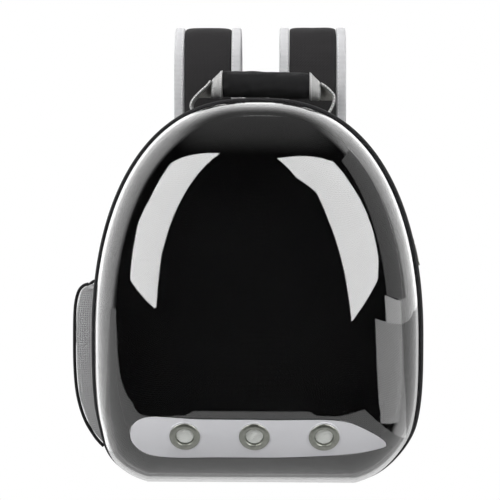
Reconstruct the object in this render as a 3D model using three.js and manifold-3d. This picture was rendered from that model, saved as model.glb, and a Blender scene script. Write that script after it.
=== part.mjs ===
// A hard-fronted pet carrier backpack: a fabric tub with a clear domed front, three ringed air
// vents, a padded top handle, a side pocket and two padded shoulder straps.
// Millimetres, +Z up, the dome faces -Y. The origin is on the floor, under the middle of the tub.
import * as THREE from "three";
import { mergeVertices } from "three/addons/utils/BufferGeometryUtils.js";
import Module from "manifold-3d";

const wasm = await Module();
wasm.setup();

// Outline of the tub, seen from the front: two superellipse halves that meet at the widest level.
const bodyWidth = 340;
const bodyHeight = 393;
const widestLevel = 148.6;
const crownSpreadPower = 2.47;
const crownRisePower = 2.16;
const baseSpreadPower = 4.4;
const baseDropPower = 3.4;
const baseSag = 6; // how far the free outline would hang below the floor that flattens it
const baseLean = 5; // the soft base has slipped a little to the left
const leanTop = 60; // height above which nothing has slipped
const leanBottom = 15; // and below which all of it has
const outlineFacets = 52;

// Gaps: one between neighbouring pieces, a wider one where a cutter must pass right through.
const gap = 0.3;
const cutMargin = 5;
const sliver = 0.02; // cuts leave no edge finer than this

// The tub, from front to back.
const gussetDepth = 100;
const gussetWall = 4;
const gussetFrontInset = 1.5;
const gussetBackInset = 4;
const zipDepth = 7;
const zipInset = 2.4;
const zipThickness = 3;
const zipFloor = 1;
const pipingDiameter = 6;
const pipingProud = 1.5;
const backPanelThickness = 6;

// The binding round the dome's edge, wider at the sides than at the crown and the base.
const rimWidth = { side: 5.6, top: 4, bottom: 3 };
const rimDepth = 8;
const rimRounding = 0.3; // share of the binding's width taken by its rounded front edges

// The clear dome and its flange, which the binding covers.
const domeWall = 2;
const domeDepth = 120;
const domeCentreLevel = 190;
const domeDepthPower = 3.1;
const domeSpreadPower = 2.2;
const domeRings = 8;
const flangeThickness = 2;
const flangeEdge = { side: 2, top: 1.6, bottom: 1.2 };

// The pale vent strip let into the dome, its three ringed vents and their screens.
const stripLeft = -122;
const stripRight = 130;
const stripTop = 81;
const stripBottom = 40;
const ventSpacing = 67;
const ventLevel = 61.5;
const ventCount = 3;
const ringOuterRadius = 14.8;
const ringBore = 8.75;
const ringBarrelWall = 1.35;
const ringFlangeThickness = 1.8;
const ringEdgeShare = 0.35; // the flange's thickness at its outer edge, as a share of the whole
const ringLipShare = 0.75; // and at the bore
const ringBackRadius = 12.8;
const ringBackThickness = 0.8;
const bossThickness = 3.6; // flat seat of a ring in the curved strip
const bossMargin = 1;
const bossLap = 0.6; // width over which the strip and a ring's seat run into each other
const ringFacets = 16;
const screenThickness = 0.8;

// The grab handle on the crown. Its grip leans a little to the right and slopes down that way.
const handleClearance = 5.6; // from the crown of the tub up to the grip
const handleDepthPlace = 10;
const gripShift = 7.7;
const gripSlope = 0.025;
const gripHalfLength = 46;
const gripHeight = 26;
const gripWidth = 33;
const cuffLength = 11.7;
const cuffProud = 1.2;
const cuffTaper = 0.62; // the cuff's outer end, as a share of its inner end
const handleFacets = 12;
const elbowWidth = 30;
const elbowThickness = 3;
const elbowSpan = 76; // the elbows' widest points, each from elbowShift
const elbowShift = 4;
const elbowDrop = 44.5;
const elbowWebThickness = 4;

// The shoulder straps.
const strapWidth = 73.5;
const strapThickness = 11;
const strapBindingWidth = 10.8;
const bindingThickness = 9;
const strapEdge = 3;
const bindingEdge = 2;
const strapPlace = 58; // centre of a strap from the middle plane
const strapPeakRise = 89; // above the crown of the tub
const strapRootDrop = 67; // below it
const strapEndLevel = 205;
const strapReach = 68; // how far the hanging half stands behind the rising half
const strapEndShift = 8;
const strapTaperStartShare = 0.82;
const strapTaperEndShare = 0.62;
const strapSteps = 22;

// The yoke that holds the strap roots down, and the two back pads under it.
const yokeHeight = 30;
const yokeThickness = 2;
const yokeMargin = 5;
const padWidth = 68;
const padHeight = 245;
const padBottom = 58;
const padThickness = 12;
const padChannel = 16;
const padCorner = 22;
const padSlope = 0.5; // how far the pad's edge leans in, per its thickness

// Webbing, ladder locks and lower anchors.
const webbingWidth = 25;
const webbingThickness = 1.6;
const tabReach = 13;
const tabStart = 3;
const lockWidth = 34;
const lockThickness = 4;
const lockBar = 4.5;
const lockSlot = 6.5;
const lockCorner = 2;
const tailLength = 62;
const anchorMargin = 78; // from the tub's widest point in to the middle of an anchor
const anchorLevel = 44;
const anchorTabSize = 46;
const anchorTabThickness = 2;
const anchorTabTaper = 0.62;
const webbingOverlap = 20;
const webbingBendShare = 0.85; // how far down the webbing turns away from the lock's plane

// The side pocket on the left.
const pocketTop = 198;
const pocketBottom = 34;
const pocketBulge = 20;
const pocketDepth = 72;
const pocketWall = 2;
const pocketPipingRadius = 1.7;
const pocketFrontPlace = -34;

// The zip slider on the right.
const sliderLevel = 247;
const sliderLength = 11;
const sliderWidth = 6;
const sliderHeight = 3.4;
const pullLength = 20;
const pullThickness = 1.4;

// Places along Y that follow from the sizes above.
const gussetFront = -gussetDepth / 2;
const gussetBack = gussetDepth / 2;
const zipBack = gussetFront - gap;
const zipFront = zipBack - zipDepth;
const flangeBack = zipFront - gap;
const flangeFront = flangeBack - flangeThickness;
const rimBack = flangeFront - gap;
const rimFront = rimBack - rimDepth;
const pipingFront = gussetBack + gap;
const backFace = pipingFront + Math.max(backPanelThickness, pipingDiameter);
const strapRootPlace = backFace + gap + strapThickness / 2;
const webbingStand = gap + anchorTabThickness + 2 * gap + webbingThickness / 2;
const topBar = tabReach + lockBar / 2;
const middleBar = topBar + lockBar + lockSlot;
const bottomBar = middleBar + lockBar + lockSlot;
const wrapRadius = Math.hypot(lockThickness, lockBar) / 2 + gap + webbingThickness / 2;
const domeRoot = widen(rimWidth, gap);
const strapPeak = bodyHeight + strapPeakRise;
const strapRootLevel = bodyHeight - strapRootDrop;
const handleLevel = bodyHeight + handleClearance + gripHeight / 2;
const anchorPlace = bodyWidth / 2 - anchorMargin;

function signedPower(value, power) {
  return Math.sign(value) * Math.abs(value) ** power;
}

function freeOutlinePoint(angle) {
  const across = Math.cos(angle);
  const up = Math.sin(angle);
  const crown = up >= 0;
  const spread = crown ? crownSpreadPower : baseSpreadPower;
  const rise = crown ? crownRisePower : baseDropPower;
  const reach = crown ? bodyHeight - widestLevel : widestLevel + baseSag;
  const level = widestLevel + reach * signedPower(up, 2 / rise);
  const slipped = 1 - THREE.MathUtils.smoothstep(level, leanBottom, leanTop);
  const half = (bodyWidth / 2) * signedPower(across, 2 / spread);
  return new THREE.Vector2(half - baseLean * slipped, level);
}

// Points round the outline from the middle of the base, each with its outward normal. They are
// spaced by length and by turning in equal parts, so that they lie closer where the line bends.
function outlineSamples() {
  const fineSteps = 2880;
  const fine = [];
  for (let i = 0; i < fineSteps; i++) {
    fine.push(freeOutlinePoint(-Math.PI / 2 + (2 * Math.PI * i) / fineSteps));
  }
  const steps = fine.map((p, i) => fine[(i + 1) % fineSteps].clone().sub(p));
  const perimeter = steps.reduce((sum, step) => sum + step.length(), 0);
  const travelled = [0];
  steps.forEach((step, i) => {
    const next = steps[(i + 1) % fineSteps];
    const turning = Math.abs(Math.asin(step.cross(next) / (step.length() * next.length())));
    travelled.push(travelled[i] + step.length() / perimeter + turning / (2 * Math.PI));
  });
  const whole = travelled[fineSteps];
  const samples = [];
  let index = 0;
  for (let k = 0; k < outlineFacets; k++) {
    const wanted = (whole * (k + 0.5)) / outlineFacets;
    while (travelled[index + 1] < wanted) index++;
    const share = (wanted - travelled[index]) / (travelled[index + 1] - travelled[index]);
    const along = steps[index].clone().normalize();
    samples.push({
      point: fine[index].clone().addScaledVector(steps[index], share),
      normal: new THREE.Vector2(along.y, -along.x),
    });
  }
  return samples;
}

const samples = outlineSamples();

function widthAt(width, normal) {
  if (typeof width === "number") return width;
  const upright = normal.y > 0 ? width.top : width.bottom;
  return width.side * normal.x ** 2 + upright * normal.y ** 2;
}

// The outline moved inwards, no lower than a floor, as a closed loop of points at one depth.
function loopAt(inset, y, floor = 0) {
  return samples.map(({ point, normal }) => {
    const inwards = widthAt(inset, normal);
    const x = point.x - normal.x * inwards;
    const z = Math.max(point.y - normal.y * inwards, floor);
    return new THREE.Vector3(x, y, z);
  });
}

// Closed mesh from loops of equally many points. The ends are fans round the given points, or,
// with no end points, the last loop joins the first.
function loftSolid(loops, startPoint, endPoint) {
  const around = loops[0].length;
  const positions = loops.flat().flatMap((p) => [p.x, p.y, p.z]);
  const faces = [];
  const ring = startPoint === undefined;
  const bands = ring ? loops.length : loops.length - 1;
  for (let k = 0; k < bands; k++) {
    const next = (k + 1) % loops.length;
    for (let i = 0; i < around; i++) {
      const j = (i + 1) % around;
      const corners = [k * around + i, k * around + j, next * around + j, next * around + i];
      faces.push(corners[0], corners[1], corners[2], corners[0], corners[2], corners[3]);
    }
  }
  if (!ring) {
    const startIndex = positions.length / 3;
    positions.push(startPoint.x, startPoint.y, startPoint.z);
    positions.push(endPoint.x, endPoint.y, endPoint.z);
    const last = (loops.length - 1) * around;
    for (let i = 0; i < around; i++) {
      const j = (i + 1) % around;
      faces.push(startIndex, j, i);
      faces.push(startIndex + 1, last + i, last + j);
    }
  }
  const geometry = new THREE.BufferGeometry();
  geometry.setAttribute("position", new THREE.Float32BufferAttribute(positions, 3));
  geometry.setIndex(faces);
  return facingOut(geometry);
}

function facingOut(geometry) {
  const position = geometry.getAttribute("position");
  const index = geometry.index.array;
  const a = new THREE.Vector3();
  const b = new THREE.Vector3();
  const c = new THREE.Vector3();
  let volume = 0;
  for (let i = 0; i < index.length; i += 3) {
    a.fromBufferAttribute(position, index[i]);
    b.fromBufferAttribute(position, index[i + 1]);
    c.fromBufferAttribute(position, index[i + 2]);
    volume += a.dot(b.cross(c));
  }
  if (volume < 0) {
    for (let i = 0; i < index.length; i += 3) {
      [index[i + 1], index[i + 2]] = [index[i + 2], index[i + 1]];
    }
  }
  return geometry;
}

function middleOf(loop) {
  const sum = new THREE.Vector3();
  loop.forEach((p) => sum.add(p));
  return sum.divideScalar(loop.length);
}

function loftWithEnds(loops) {
  return loftSolid(loops, middleOf(loops[0]), middleOf(loops[loops.length - 1]));
}

function toSolid(geometry) {
  const bare = geometry.clone();
  bare.deleteAttribute("normal");
  bare.deleteAttribute("uv");
  const merged = mergeVertices(bare, 1e-4);
  return new wasm.Manifold(
    new wasm.Mesh({
      numProp: 3,
      vertProperties: merged.getAttribute("position").array,
      triVerts: new Uint32Array(merged.index.array),
    }),
  );
}

function toGeometry(solid) {
  const mesh = solid.simplify(sliver).getMesh();
  const geometry = new THREE.BufferGeometry();
  geometry.setAttribute("position", new THREE.Float32BufferAttribute(mesh.vertProperties, 3));
  geometry.setIndex(new THREE.BufferAttribute(mesh.triVerts, 1));
  return geometry;
}

// A flat shape drawn in X and Z, pushed through from yFront to yBack.
function slab(shape, yFront, yBack) {
  const geometry = new THREE.ExtrudeGeometry(shape, {
    depth: yBack - yFront,
    bevelEnabled: false,
  });
  return geometry.rotateX(Math.PI / 2).translate(0, yBack, 0);
}

function shapeOf(points) {
  return new THREE.Shape(points.map(([x, z]) => new THREE.Vector2(x, z)));
}

// Materials of the finished pieces.
function cloth(color, roughness = 0.85) {
  return new THREE.MeshStandardMaterial({ color, roughness, metalness: 0 });
}
const blackCloth = cloth(0x1b1b1d);
const blackBinding = cloth(0x121213, 0.6);
const blackMesh = cloth(0x202022, 0.9);
const greyBinding = cloth(0xcfcfd0, 0.8);
const greyLeather = cloth(0xb4b3ae, 0.55);
const greyMesh = cloth(0x9a9a9b, 0.85);
const blackPlastic = cloth(0x17171a, 0.4);
const paleStrip = cloth(0xdcdce0, 0.3);
const paleScreen = cloth(0xd2d4cf, 0.6);
const ringMetal = new THREE.MeshStandardMaterial({ color: 0x8c8c86, roughness: 0.35, metalness: 1 });
const clearPlastic = new THREE.MeshPhysicalMaterial({
  color: 0xffffff,
  roughness: 0.03,
  metalness: 0,
  transmission: 1,
  ior: 1.58,
});

const carrier = new THREE.Group();

function addPiece(name, geometry, material) {
  const mesh = new THREE.Mesh(geometry, material);
  mesh.name = name;
  carrier.add(mesh);
  return mesh;
}

// The tub: side gusset, back panel and the piping that joins them.
function gussetBand() {
  return loftSolid([
    loopAt(gussetFrontInset, gussetFront),
    loopAt(gussetBackInset, gussetBack),
    loopAt(gussetBackInset + gussetWall, gussetBack, gussetWall),
    loopAt(gussetFrontInset + gussetWall, gussetFront, gussetWall),
  ]);
}

// Everything inside the gusset's outer face, a gap larger: what is sewn to the tub is cut to it.
function tubBulk() {
  return toSolid(
    loftWithEnds([
      loopAt(gussetFrontInset - gap, gussetFront),
      loopAt(gussetBackInset - gap, gussetBack),
    ]),
  );
}

function backPiping() {
  const radius = pipingDiameter / 2;
  const outer = gussetBackInset - pipingProud;
  const sides = 6;
  const loops = [];
  for (let k = 0; k < sides; k++) {
    const turn = (2 * Math.PI * (k + 0.5)) / sides;
    const inwards = radius - radius * Math.cos(turn);
    const depth = pipingFront + radius + radius * Math.sin(turn);
    loops.push(loopAt(outer + inwards, depth, inwards));
  }
  return loftSolid(loops);
}

function backPanel() {
  const inset = gussetBackInset - pipingProud + pipingDiameter + gap;
  const floor = pipingDiameter + gap;
  return loftWithEnds([
    loopAt(inset, pipingFront, floor),
    loopAt(inset, pipingFront + backPanelThickness, floor),
  ]);
}

// The zip tape between tub and door, and its slider.
function zipBand() {
  return loftSolid([
    loopAt(zipInset, zipFront, zipFloor),
    loopAt(zipInset, zipBack, zipFloor),
    loopAt(zipInset + zipThickness, zipBack, zipFloor + zipThickness),
    loopAt(zipInset + zipThickness, zipFront, zipFloor + zipThickness),
  ]);
}

// Where a level crosses one side of the outline: a point of the facet there, with its normal.
function sideAt(level, side) {
  for (let i = 0; i < samples.length; i++) {
    const a = samples[i];
    const b = samples[(i + 1) % samples.length];
    const crosses = (a.point.y - level) * (b.point.y - level) <= 0;
    if (crosses && Math.sign(a.point.x) === side && Math.sign(b.point.x) === side) {
      const share = (level - a.point.y) / (b.point.y - a.point.y);
      return {
        point: a.point.clone().lerp(b.point, share),
        normal: a.normal.clone().lerp(b.normal, share).normalize(),
      };
    }
  }
  throw new Error(`the outline does not reach level ${level}`);
}

function zipSlider() {
  const { point, normal } = sideAt(sliderLevel, 1);
  const down = new THREE.Vector2(normal.y, -normal.x);
  const base = gap - zipInset;
  const profile = [
    [-sliderLength / 2, base],
    [sliderLength / 2, base],
    [sliderLength / 2, base + sliderHeight - pullThickness],
    [sliderLength / 2 + pullLength, base + sliderHeight - pullThickness],
    [sliderLength / 2 + pullLength, base + sliderHeight],
    [-sliderLength / 2, base + sliderHeight],
  ].map(([along, out]) => [
    point.x + down.x * along + normal.x * out,
    point.y + down.y * along + normal.y * out,
  ]);
  const middle = (zipFront + zipBack) / 2;
  const block = slab(shapeOf(profile), middle - sliderWidth / 2, middle + sliderWidth / 2);
  const clear = 2 * gap;
  const keepOff = loftSolid([
    loopAt(zipInset - gap, zipFront - cutMargin),
    loopAt(zipInset - gap, zipBack + cutMargin),
    loopAt(zipInset + zipThickness + clear, zipBack + cutMargin, clear),
    loopAt(zipInset + zipThickness + clear, zipFront - cutMargin, clear),
  ]);
  return toGeometry(toSolid(block).subtract(toSolid(keepOff)));
}

// The binding round the dome: square behind, rounded in front.
function rimBinding() {
  const narrow = scaleWidth(rimWidth, rimRounding);
  const wide = scaleWidth(rimWidth, 1 - rimRounding);
  const shoulder = rimFront + rimDepth * rimRounding;
  return loftSolid([
    loopAt(0, rimBack),
    loopAt(0, shoulder),
    loopAt(narrow, rimFront, narrow.bottom),
    loopAt(wide, rimFront, wide.bottom),
    loopAt(rimWidth, shoulder, rimWidth.bottom),
    loopAt(rimWidth, rimBack, rimWidth.bottom),
  ]);
}

function scaleWidth(width, share) {
  return { side: width.side * share, top: width.top * share, bottom: width.bottom * share };
}

function widen(width, amount) {
  return { side: width.side + amount, top: width.top + amount, bottom: width.bottom + amount };
}

// A loop of the dome: the root outline drawn in towards the dome's centre as it comes forward.
function domeLoop(root, rootY, depth, turn) {
  const spread = Math.cos(turn) ** (2 / domeSpreadPower);
  const forward = depth * Math.sin(turn) ** (2 / domeDepthPower);
  return root.map(
    (p) =>
      new THREE.Vector3(
        p.x * spread,
        rootY - forward,
        domeCentreLevel + (p.z - domeCentreLevel) * spread,
      ),
  );
}

function domeShell() {
  const inner = widen(domeRoot, domeWall);
  const outerRoot = loopAt(domeRoot, flangeFront, domeRoot.bottom);
  const innerRoot = loopAt(inner, flangeBack, inner.bottom);
  const innerDepth = domeDepth + flangeThickness - domeWall;
  const loops = [];
  for (let k = domeRings - 1; k >= 0; k--) {
    loops.push(domeLoop(innerRoot, flangeBack, innerDepth, ((Math.PI / 2) * k) / domeRings));
  }
  loops.push(loopAt(flangeEdge, flangeBack, flangeEdge.bottom));
  loops.push(loopAt(flangeEdge, flangeFront, flangeEdge.bottom));
  for (let k = 0; k < domeRings; k++) {
    loops.push(domeLoop(outerRoot, flangeFront, domeDepth, ((Math.PI / 2) * k) / domeRings));
  }
  return loftSolid(
    loops,
    new THREE.Vector3(0, flangeBack - innerDepth, domeCentreLevel),
    new THREE.Vector3(0, flangeFront - domeDepth, domeCentreLevel),
  );
}

// The vent strip's outline, round at the left and drawn out to a nose at the right.
// Each row: share of the strip's width from its left end, share of its height from the bottom.
const stripOutline = [
  { across: 0.06, up: 1 },
  { across: 0.3, up: 1 },
  { across: 0.55, up: 0.99 },
  { across: 0.82, up: 0.95 },
  { across: 0.92, up: 0.68 },
  { across: 0.985, up: 0.38 },
  { across: 0.995, up: 0.25 },
  { across: 0.95, up: 0.17 },
  { across: 0.8, up: 0.08 },
  { across: 0.6, up: 0.01 },
  { across: 0.35, up: 0 },
  { across: 0.14, up: 0 },
  { across: 0.05, up: 0.12 },
  { across: 0.005, up: 0.42 },
  { across: 0.012, up: 0.78 },
];

function stripShape(shrink) {
  const points = stripOutline.map(
    ({ across, up }) =>
      new THREE.Vector3(
        THREE.MathUtils.lerp(stripLeft + shrink, stripRight - shrink, across),
        THREE.MathUtils.lerp(stripBottom + shrink, stripTop - shrink, up),
        0,
      ),
  );
  const curve = new THREE.CatmullRomCurve3(points, true);
  const line = curve.getPoints(2 * stripOutline.length).slice(1);
  return new THREE.Shape(line.map((p) => new THREE.Vector2(p.x, p.y)));
}

function stripCutter(shrink) {
  return toSolid(slab(stripShape(shrink), flangeFront - domeDepth - cutMargin, rimFront));
}

// The dome's outer surface in front of a point of its outline plane.
function domeFrontAt(x, z) {
  const root = loopAt(domeRoot, flangeFront, domeRoot.bottom);
  const ray = new THREE.Vector2(x, z - domeCentreLevel);
  let share = 0;
  for (let i = 0; i < root.length; i++) {
    const a = root[i];
    const b = root[(i + 1) % root.length];
    const edge = new THREE.Vector2(b.x - a.x, b.z - a.z);
    const start = new THREE.Vector2(a.x, a.z - domeCentreLevel);
    const cross = ray.x * edge.y - ray.y * edge.x;
    const along = (start.x * edge.y - start.y * edge.x) / cross;
    const across = (start.x * ray.y - start.y * ray.x) / cross;
    if (along > 0 && across >= 0 && across <= 1) share = 1 / along;
  }
  const forward = (1 - share ** domeSpreadPower) ** (1 / domeDepthPower);
  return new THREE.Vector3(x, flangeFront - domeDepth * forward, z);
}

function ventPlaces() {
  const step = 4;
  return Array.from({ length: ventCount }, (_, k) => {
    const x = (k - (ventCount - 1) / 2) * ventSpacing;
    const centre = domeFrontAt(x, ventLevel);
    const sideways = domeFrontAt(x + step, ventLevel).sub(domeFrontAt(x - step, ventLevel));
    const upwards = domeFrontAt(x, ventLevel + step).sub(domeFrontAt(x, ventLevel - step));
    return { centre, axis: sideways.cross(upwards).normalize() };
  });
}

// Turns a lathe about +Y so that +Y points along the vent's axis, and sets it at the vent.
function atVent(geometry, { centre, axis }) {
  const turn = new THREE.Quaternion().setFromUnitVectors(new THREE.Vector3(0, 1, 0), axis);
  return geometry.applyQuaternion(turn).translate(centre.x, centre.y, centre.z);
}

function turned(profile) {
  const points = [...profile, profile[0]].map(([r, h]) => new THREE.Vector2(r, h));
  return new THREE.LatheGeometry(points, ringFacets);
}

function ventRing(place) {
  const barrel = ringBore + ringBarrelWall;
  const face = gap + ringFlangeThickness;
  const back = -bossThickness - gap;
  const ring = turned([
    [ringBore, back - ringBackThickness],
    [ringBackRadius, back - ringBackThickness],
    [ringBackRadius, back],
    [barrel, back],
    [barrel, gap],
    [ringOuterRadius, gap],
    [ringOuterRadius, gap + ringFlangeThickness * ringEdgeShare],
    [(ringOuterRadius + barrel) / 2, face],
    [ringBore, face * ringLipShare],
  ]);
  return atVent(ring, place);
}

function ventScreen(place) {
  const radius = ringBore - gap;
  const screen = new THREE.CylinderGeometry(radius, radius, screenThickness, ringFacets);
  return atVent(screen.translate(0, -bossThickness / 2, 0), place);
}

function ventStrip(shell, places) {
  let strip = shell;
  const seat = ringOuterRadius + bossMargin;
  const hole = ringBore + ringBarrelWall + gap;
  const through = 6 * domeWall;
  places.forEach((place) => {
    const clearing = new THREE.CylinderGeometry(seat - bossLap, seat - bossLap, through, ringFacets);
    const boss = new THREE.CylinderGeometry(seat, seat, bossThickness, ringFacets);
    const drill = new THREE.CylinderGeometry(hole, hole, through, ringFacets);
    boss.translate(0, -bossThickness / 2, 0);
    strip = strip
      .subtract(toSolid(atVent(clearing, place)))
      .add(toSolid(atVent(boss, place)))
      .subtract(toSolid(atVent(drill, place)));
  });
  return toGeometry(strip.intersect(stripCutter(gap)));
}

// Sweeps a flat-lying section along a path. The section's first number runs along X, and its
// second across the path.
function sweep(path, section, widthShare = () => 1) {
  const side = new THREE.Vector3(1, 0, 0);
  return loftWithEnds(
    path.map((centre, i) => {
      const before = path[Math.max(i - 1, 0)];
      const after = path[Math.min(i + 1, path.length - 1)];
      const across = after.clone().sub(before).cross(side).normalize();
      const share = widthShare(i / (path.length - 1));
      return section.map(([a, b]) =>
        centre
          .clone()
          .addScaledVector(side, a * share)
          .addScaledVector(across, b),
      );
    }),
  );
}

// A strip's section with its four long edges taken off.
function flatSection(from, to, thickness, edge) {
  const half = thickness / 2;
  return [
    [from, -half + edge],
    [from + edge, -half],
    [to - edge, -half],
    [to, -half + edge],
    [to, half - edge],
    [to - edge, half],
    [from + edge, half],
    [from, half - edge],
  ];
}

function roundSection(width, height, facets) {
  return Array.from({ length: facets }, (_, k) => {
    const turn = (2 * Math.PI * k) / facets;
    return [(width / 2) * Math.cos(turn), (height / 2) * Math.sin(turn)];
  });
}

// A strap rises from its root on the back, folds over above the crown and hangs down behind.
// Each row: share of the reach behind the root, share of the way from root or end to the peak.
const strapRise = [
  { behind: 0, up: 0 },
  { behind: 0, up: 0.2 },
  { behind: 0, up: 0.42 },
  { behind: 0.02, up: 0.66 },
  { behind: 0.08, up: 0.84 },
  { behind: 0.22, up: 0.96 },
  { behind: 0.42, up: 1 },
];
const strapFall = [
  { behind: 0.62, up: 0.975 },
  { behind: 0.8, up: 0.9 },
  { behind: 0.94, up: 0.74 },
  { behind: 1, up: 0.5 },
  { behind: 0.95, up: 0.24 },
  { behind: 0.76, up: 0 },
];

function strapPath(side) {
  const top = strapPeak - strapThickness / 2;
  const rising = strapRise.map(
    ({ behind, up }) =>
      new THREE.Vector3(
        side * strapPlace,
        strapRootPlace + behind * strapReach,
        THREE.MathUtils.lerp(strapRootLevel, top, up),
      ),
  );
  const falling = strapFall.map(
    ({ behind, up }) =>
      new THREE.Vector3(
        side * (strapPlace + strapEndShift * (1 - up) ** 2),
        strapRootPlace + behind * strapReach,
        THREE.MathUtils.lerp(strapEndLevel, top, up),
      ),
  );
  return new THREE.CatmullRomCurve3([...rising, ...falling]).getSpacedPoints(strapSteps);
}

function strapShare(along) {
  if (along < strapTaperStartShare) return 1;
  const done = (along - strapTaperStartShare) / (1 - strapTaperStartShare);
  return THREE.MathUtils.lerp(1, strapTaperEndShare, done);
}

function addStrap(label, side) {
  const path = strapPath(side);
  const half = strapWidth / 2;
  const coreHalf = half - strapBindingWidth;
  const seam = gap / 2 / strapTaperEndShare;
  const core = flatSection(-coreHalf + seam, coreHalf - seam, strapThickness, strapEdge);
  addPiece(`strap_core_${label}`, sweep(path, core, strapShare), blackCloth);
  const outward = flatSection(coreHalf + seam, half, bindingThickness, bindingEdge);
  const inward = flatSection(-half, -coreHalf - seam, bindingThickness, bindingEdge);
  addPiece(`strap_binding_right_${label}`, sweep(path, outward, strapShare), greyBinding);
  addPiece(`strap_binding_left_${label}`, sweep(path, inward, strapShare), greyBinding);
}

// The yoke lies over both strap roots, with a rib between them and one at each end.
function strapYoke() {
  const inner = strapPlace - strapWidth / 2 - gap;
  const outer = strapPlace + strapWidth / 2 + gap;
  const end = outer + yokeMargin;
  const floor = backFace + gap;
  const roof = strapRootPlace + strapThickness / 2 + gap;
  const half = [
    [inner, floor],
    [inner, roof],
    [outer, roof],
    [outer, floor],
    [end, floor],
    [end, roof + yokeThickness],
  ];
  const mirrored = [...half].reverse().map(([x, y]) => [-x, y]);
  const geometry = new THREE.ExtrudeGeometry(shapeOf([...half, ...mirrored]), {
    depth: yokeHeight,
    bevelEnabled: false,
  });
  return geometry.translate(0, 0, strapRootLevel);
}

function roundedPanel(x0, x1, z0, z1, radius) {
  const shape = new THREE.Shape();
  shape.moveTo(x0 + radius, z0);
  shape.lineTo(x1 - radius, z0);
  shape.absarc(x1 - radius, z0 + radius, radius, -Math.PI / 2, 0);
  shape.lineTo(x1, z1 - radius);
  shape.absarc(x1 - radius, z1 - radius, radius, 0, Math.PI / 2);
  shape.lineTo(x0 + radius, z1);
  shape.absarc(x0 + radius, z1 - radius, radius, Math.PI / 2, Math.PI);
  shape.lineTo(x0, z0 + radius);
  shape.absarc(x0 + radius, z0 + radius, radius, Math.PI, 1.5 * Math.PI);
  return shape;
}

// A back pad is crowned: its rear face is smaller than the face on the back panel.
function backPad(side) {
  const x0 = side > 0 ? padChannel / 2 : -padChannel / 2 - padWidth;
  const front = backFace + gap;
  const loops = [0, 0.55, 1].map((out) => {
    const shrink = padThickness * padSlope * out ** 2;
    const shape = roundedPanel(
      x0 + shrink,
      x0 + padWidth - shrink,
      padBottom + shrink,
      padBottom + padHeight - shrink,
      padCorner,
    );
    const points = shape.getPoints(4);
    if (points[0].distanceTo(points[points.length - 1]) < gap) points.pop();
    return points.map((p) => new THREE.Vector3(p.x, front + padThickness * out, p.y));
  });
  return loftWithEnds(loops);
}

// Handle: a padded grip, a cuff round each of its ends, and flat elbows down to the crown.
function gripCentre(reach) {
  return new THREE.Vector3(gripShift + reach, handleDepthPlace, handleLevel - gripSlope * reach);
}

function gripLoop(reach, width, height) {
  const centre = gripCentre(reach);
  return roundSection(width, height, handleFacets).map(([y, z]) =>
    centre.clone().add(new THREE.Vector3(0, y, z)),
  );
}

function handleGrip() {
  const rounding = [
    { reach: -1, size: 0.93 },
    { reach: -0.88, size: 1 },
    { reach: 0.88, size: 1 },
    { reach: 1, size: 0.93 },
  ];
  return loftWithEnds(
    rounding.map(({ reach, size }) =>
      gripLoop(gripHalfLength * reach, gripWidth * size, gripHeight * size),
    ),
  );
}

function handleCuff(side) {
  const start = gripHalfLength + gap;
  return loftWithEnds(
    [0, 0.5, 1].map((share) => {
      const size = THREE.MathUtils.lerp(1, cuffTaper, share);
      const height = gripHeight + 2 * cuffProud;
      const sunk = new THREE.Vector3(0, 0, ((size - 1) * height) / 2);
      const reach = side * (start + cuffLength * share);
      const loop = gripLoop(reach, (gripWidth + 2 * cuffProud) * size, height * size);
      return loop.map((p) => p.add(sunk));
    }),
  );
}

// Each row: share of the way out to the elbow's widest point, share of the elbow's drop. Both
// elbows turn back under themselves, and their feet lie on the crown.
const elbowLines = {
  left: [
    { out: 0, down: 0 },
    { out: 0.27, down: 0.15 },
    { out: 0.51, down: 0.25 },
    { out: 0.76, down: 0.37 },
    { out: 0.95, down: 0.5 },
    { out: 1, down: 0.61 },
    { out: 0.9, down: 0.72 },
    { out: 0.7, down: 0.78 },
    { out: 0.33, down: 0.73 },
  ],
  right: [
    { out: 0, down: 0 },
    { out: 0.37, down: 0.08 },
    { out: 0.72, down: 0.18 },
    { out: 0.97, down: 0.28 },
    { out: 1, down: 0.41 },
    { out: 0.87, down: 0.54 },
    { out: 0.62, down: 0.68 },
    { out: 0.35, down: 0.75 },
    { out: 0, down: 0.73 },
  ],
};

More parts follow.
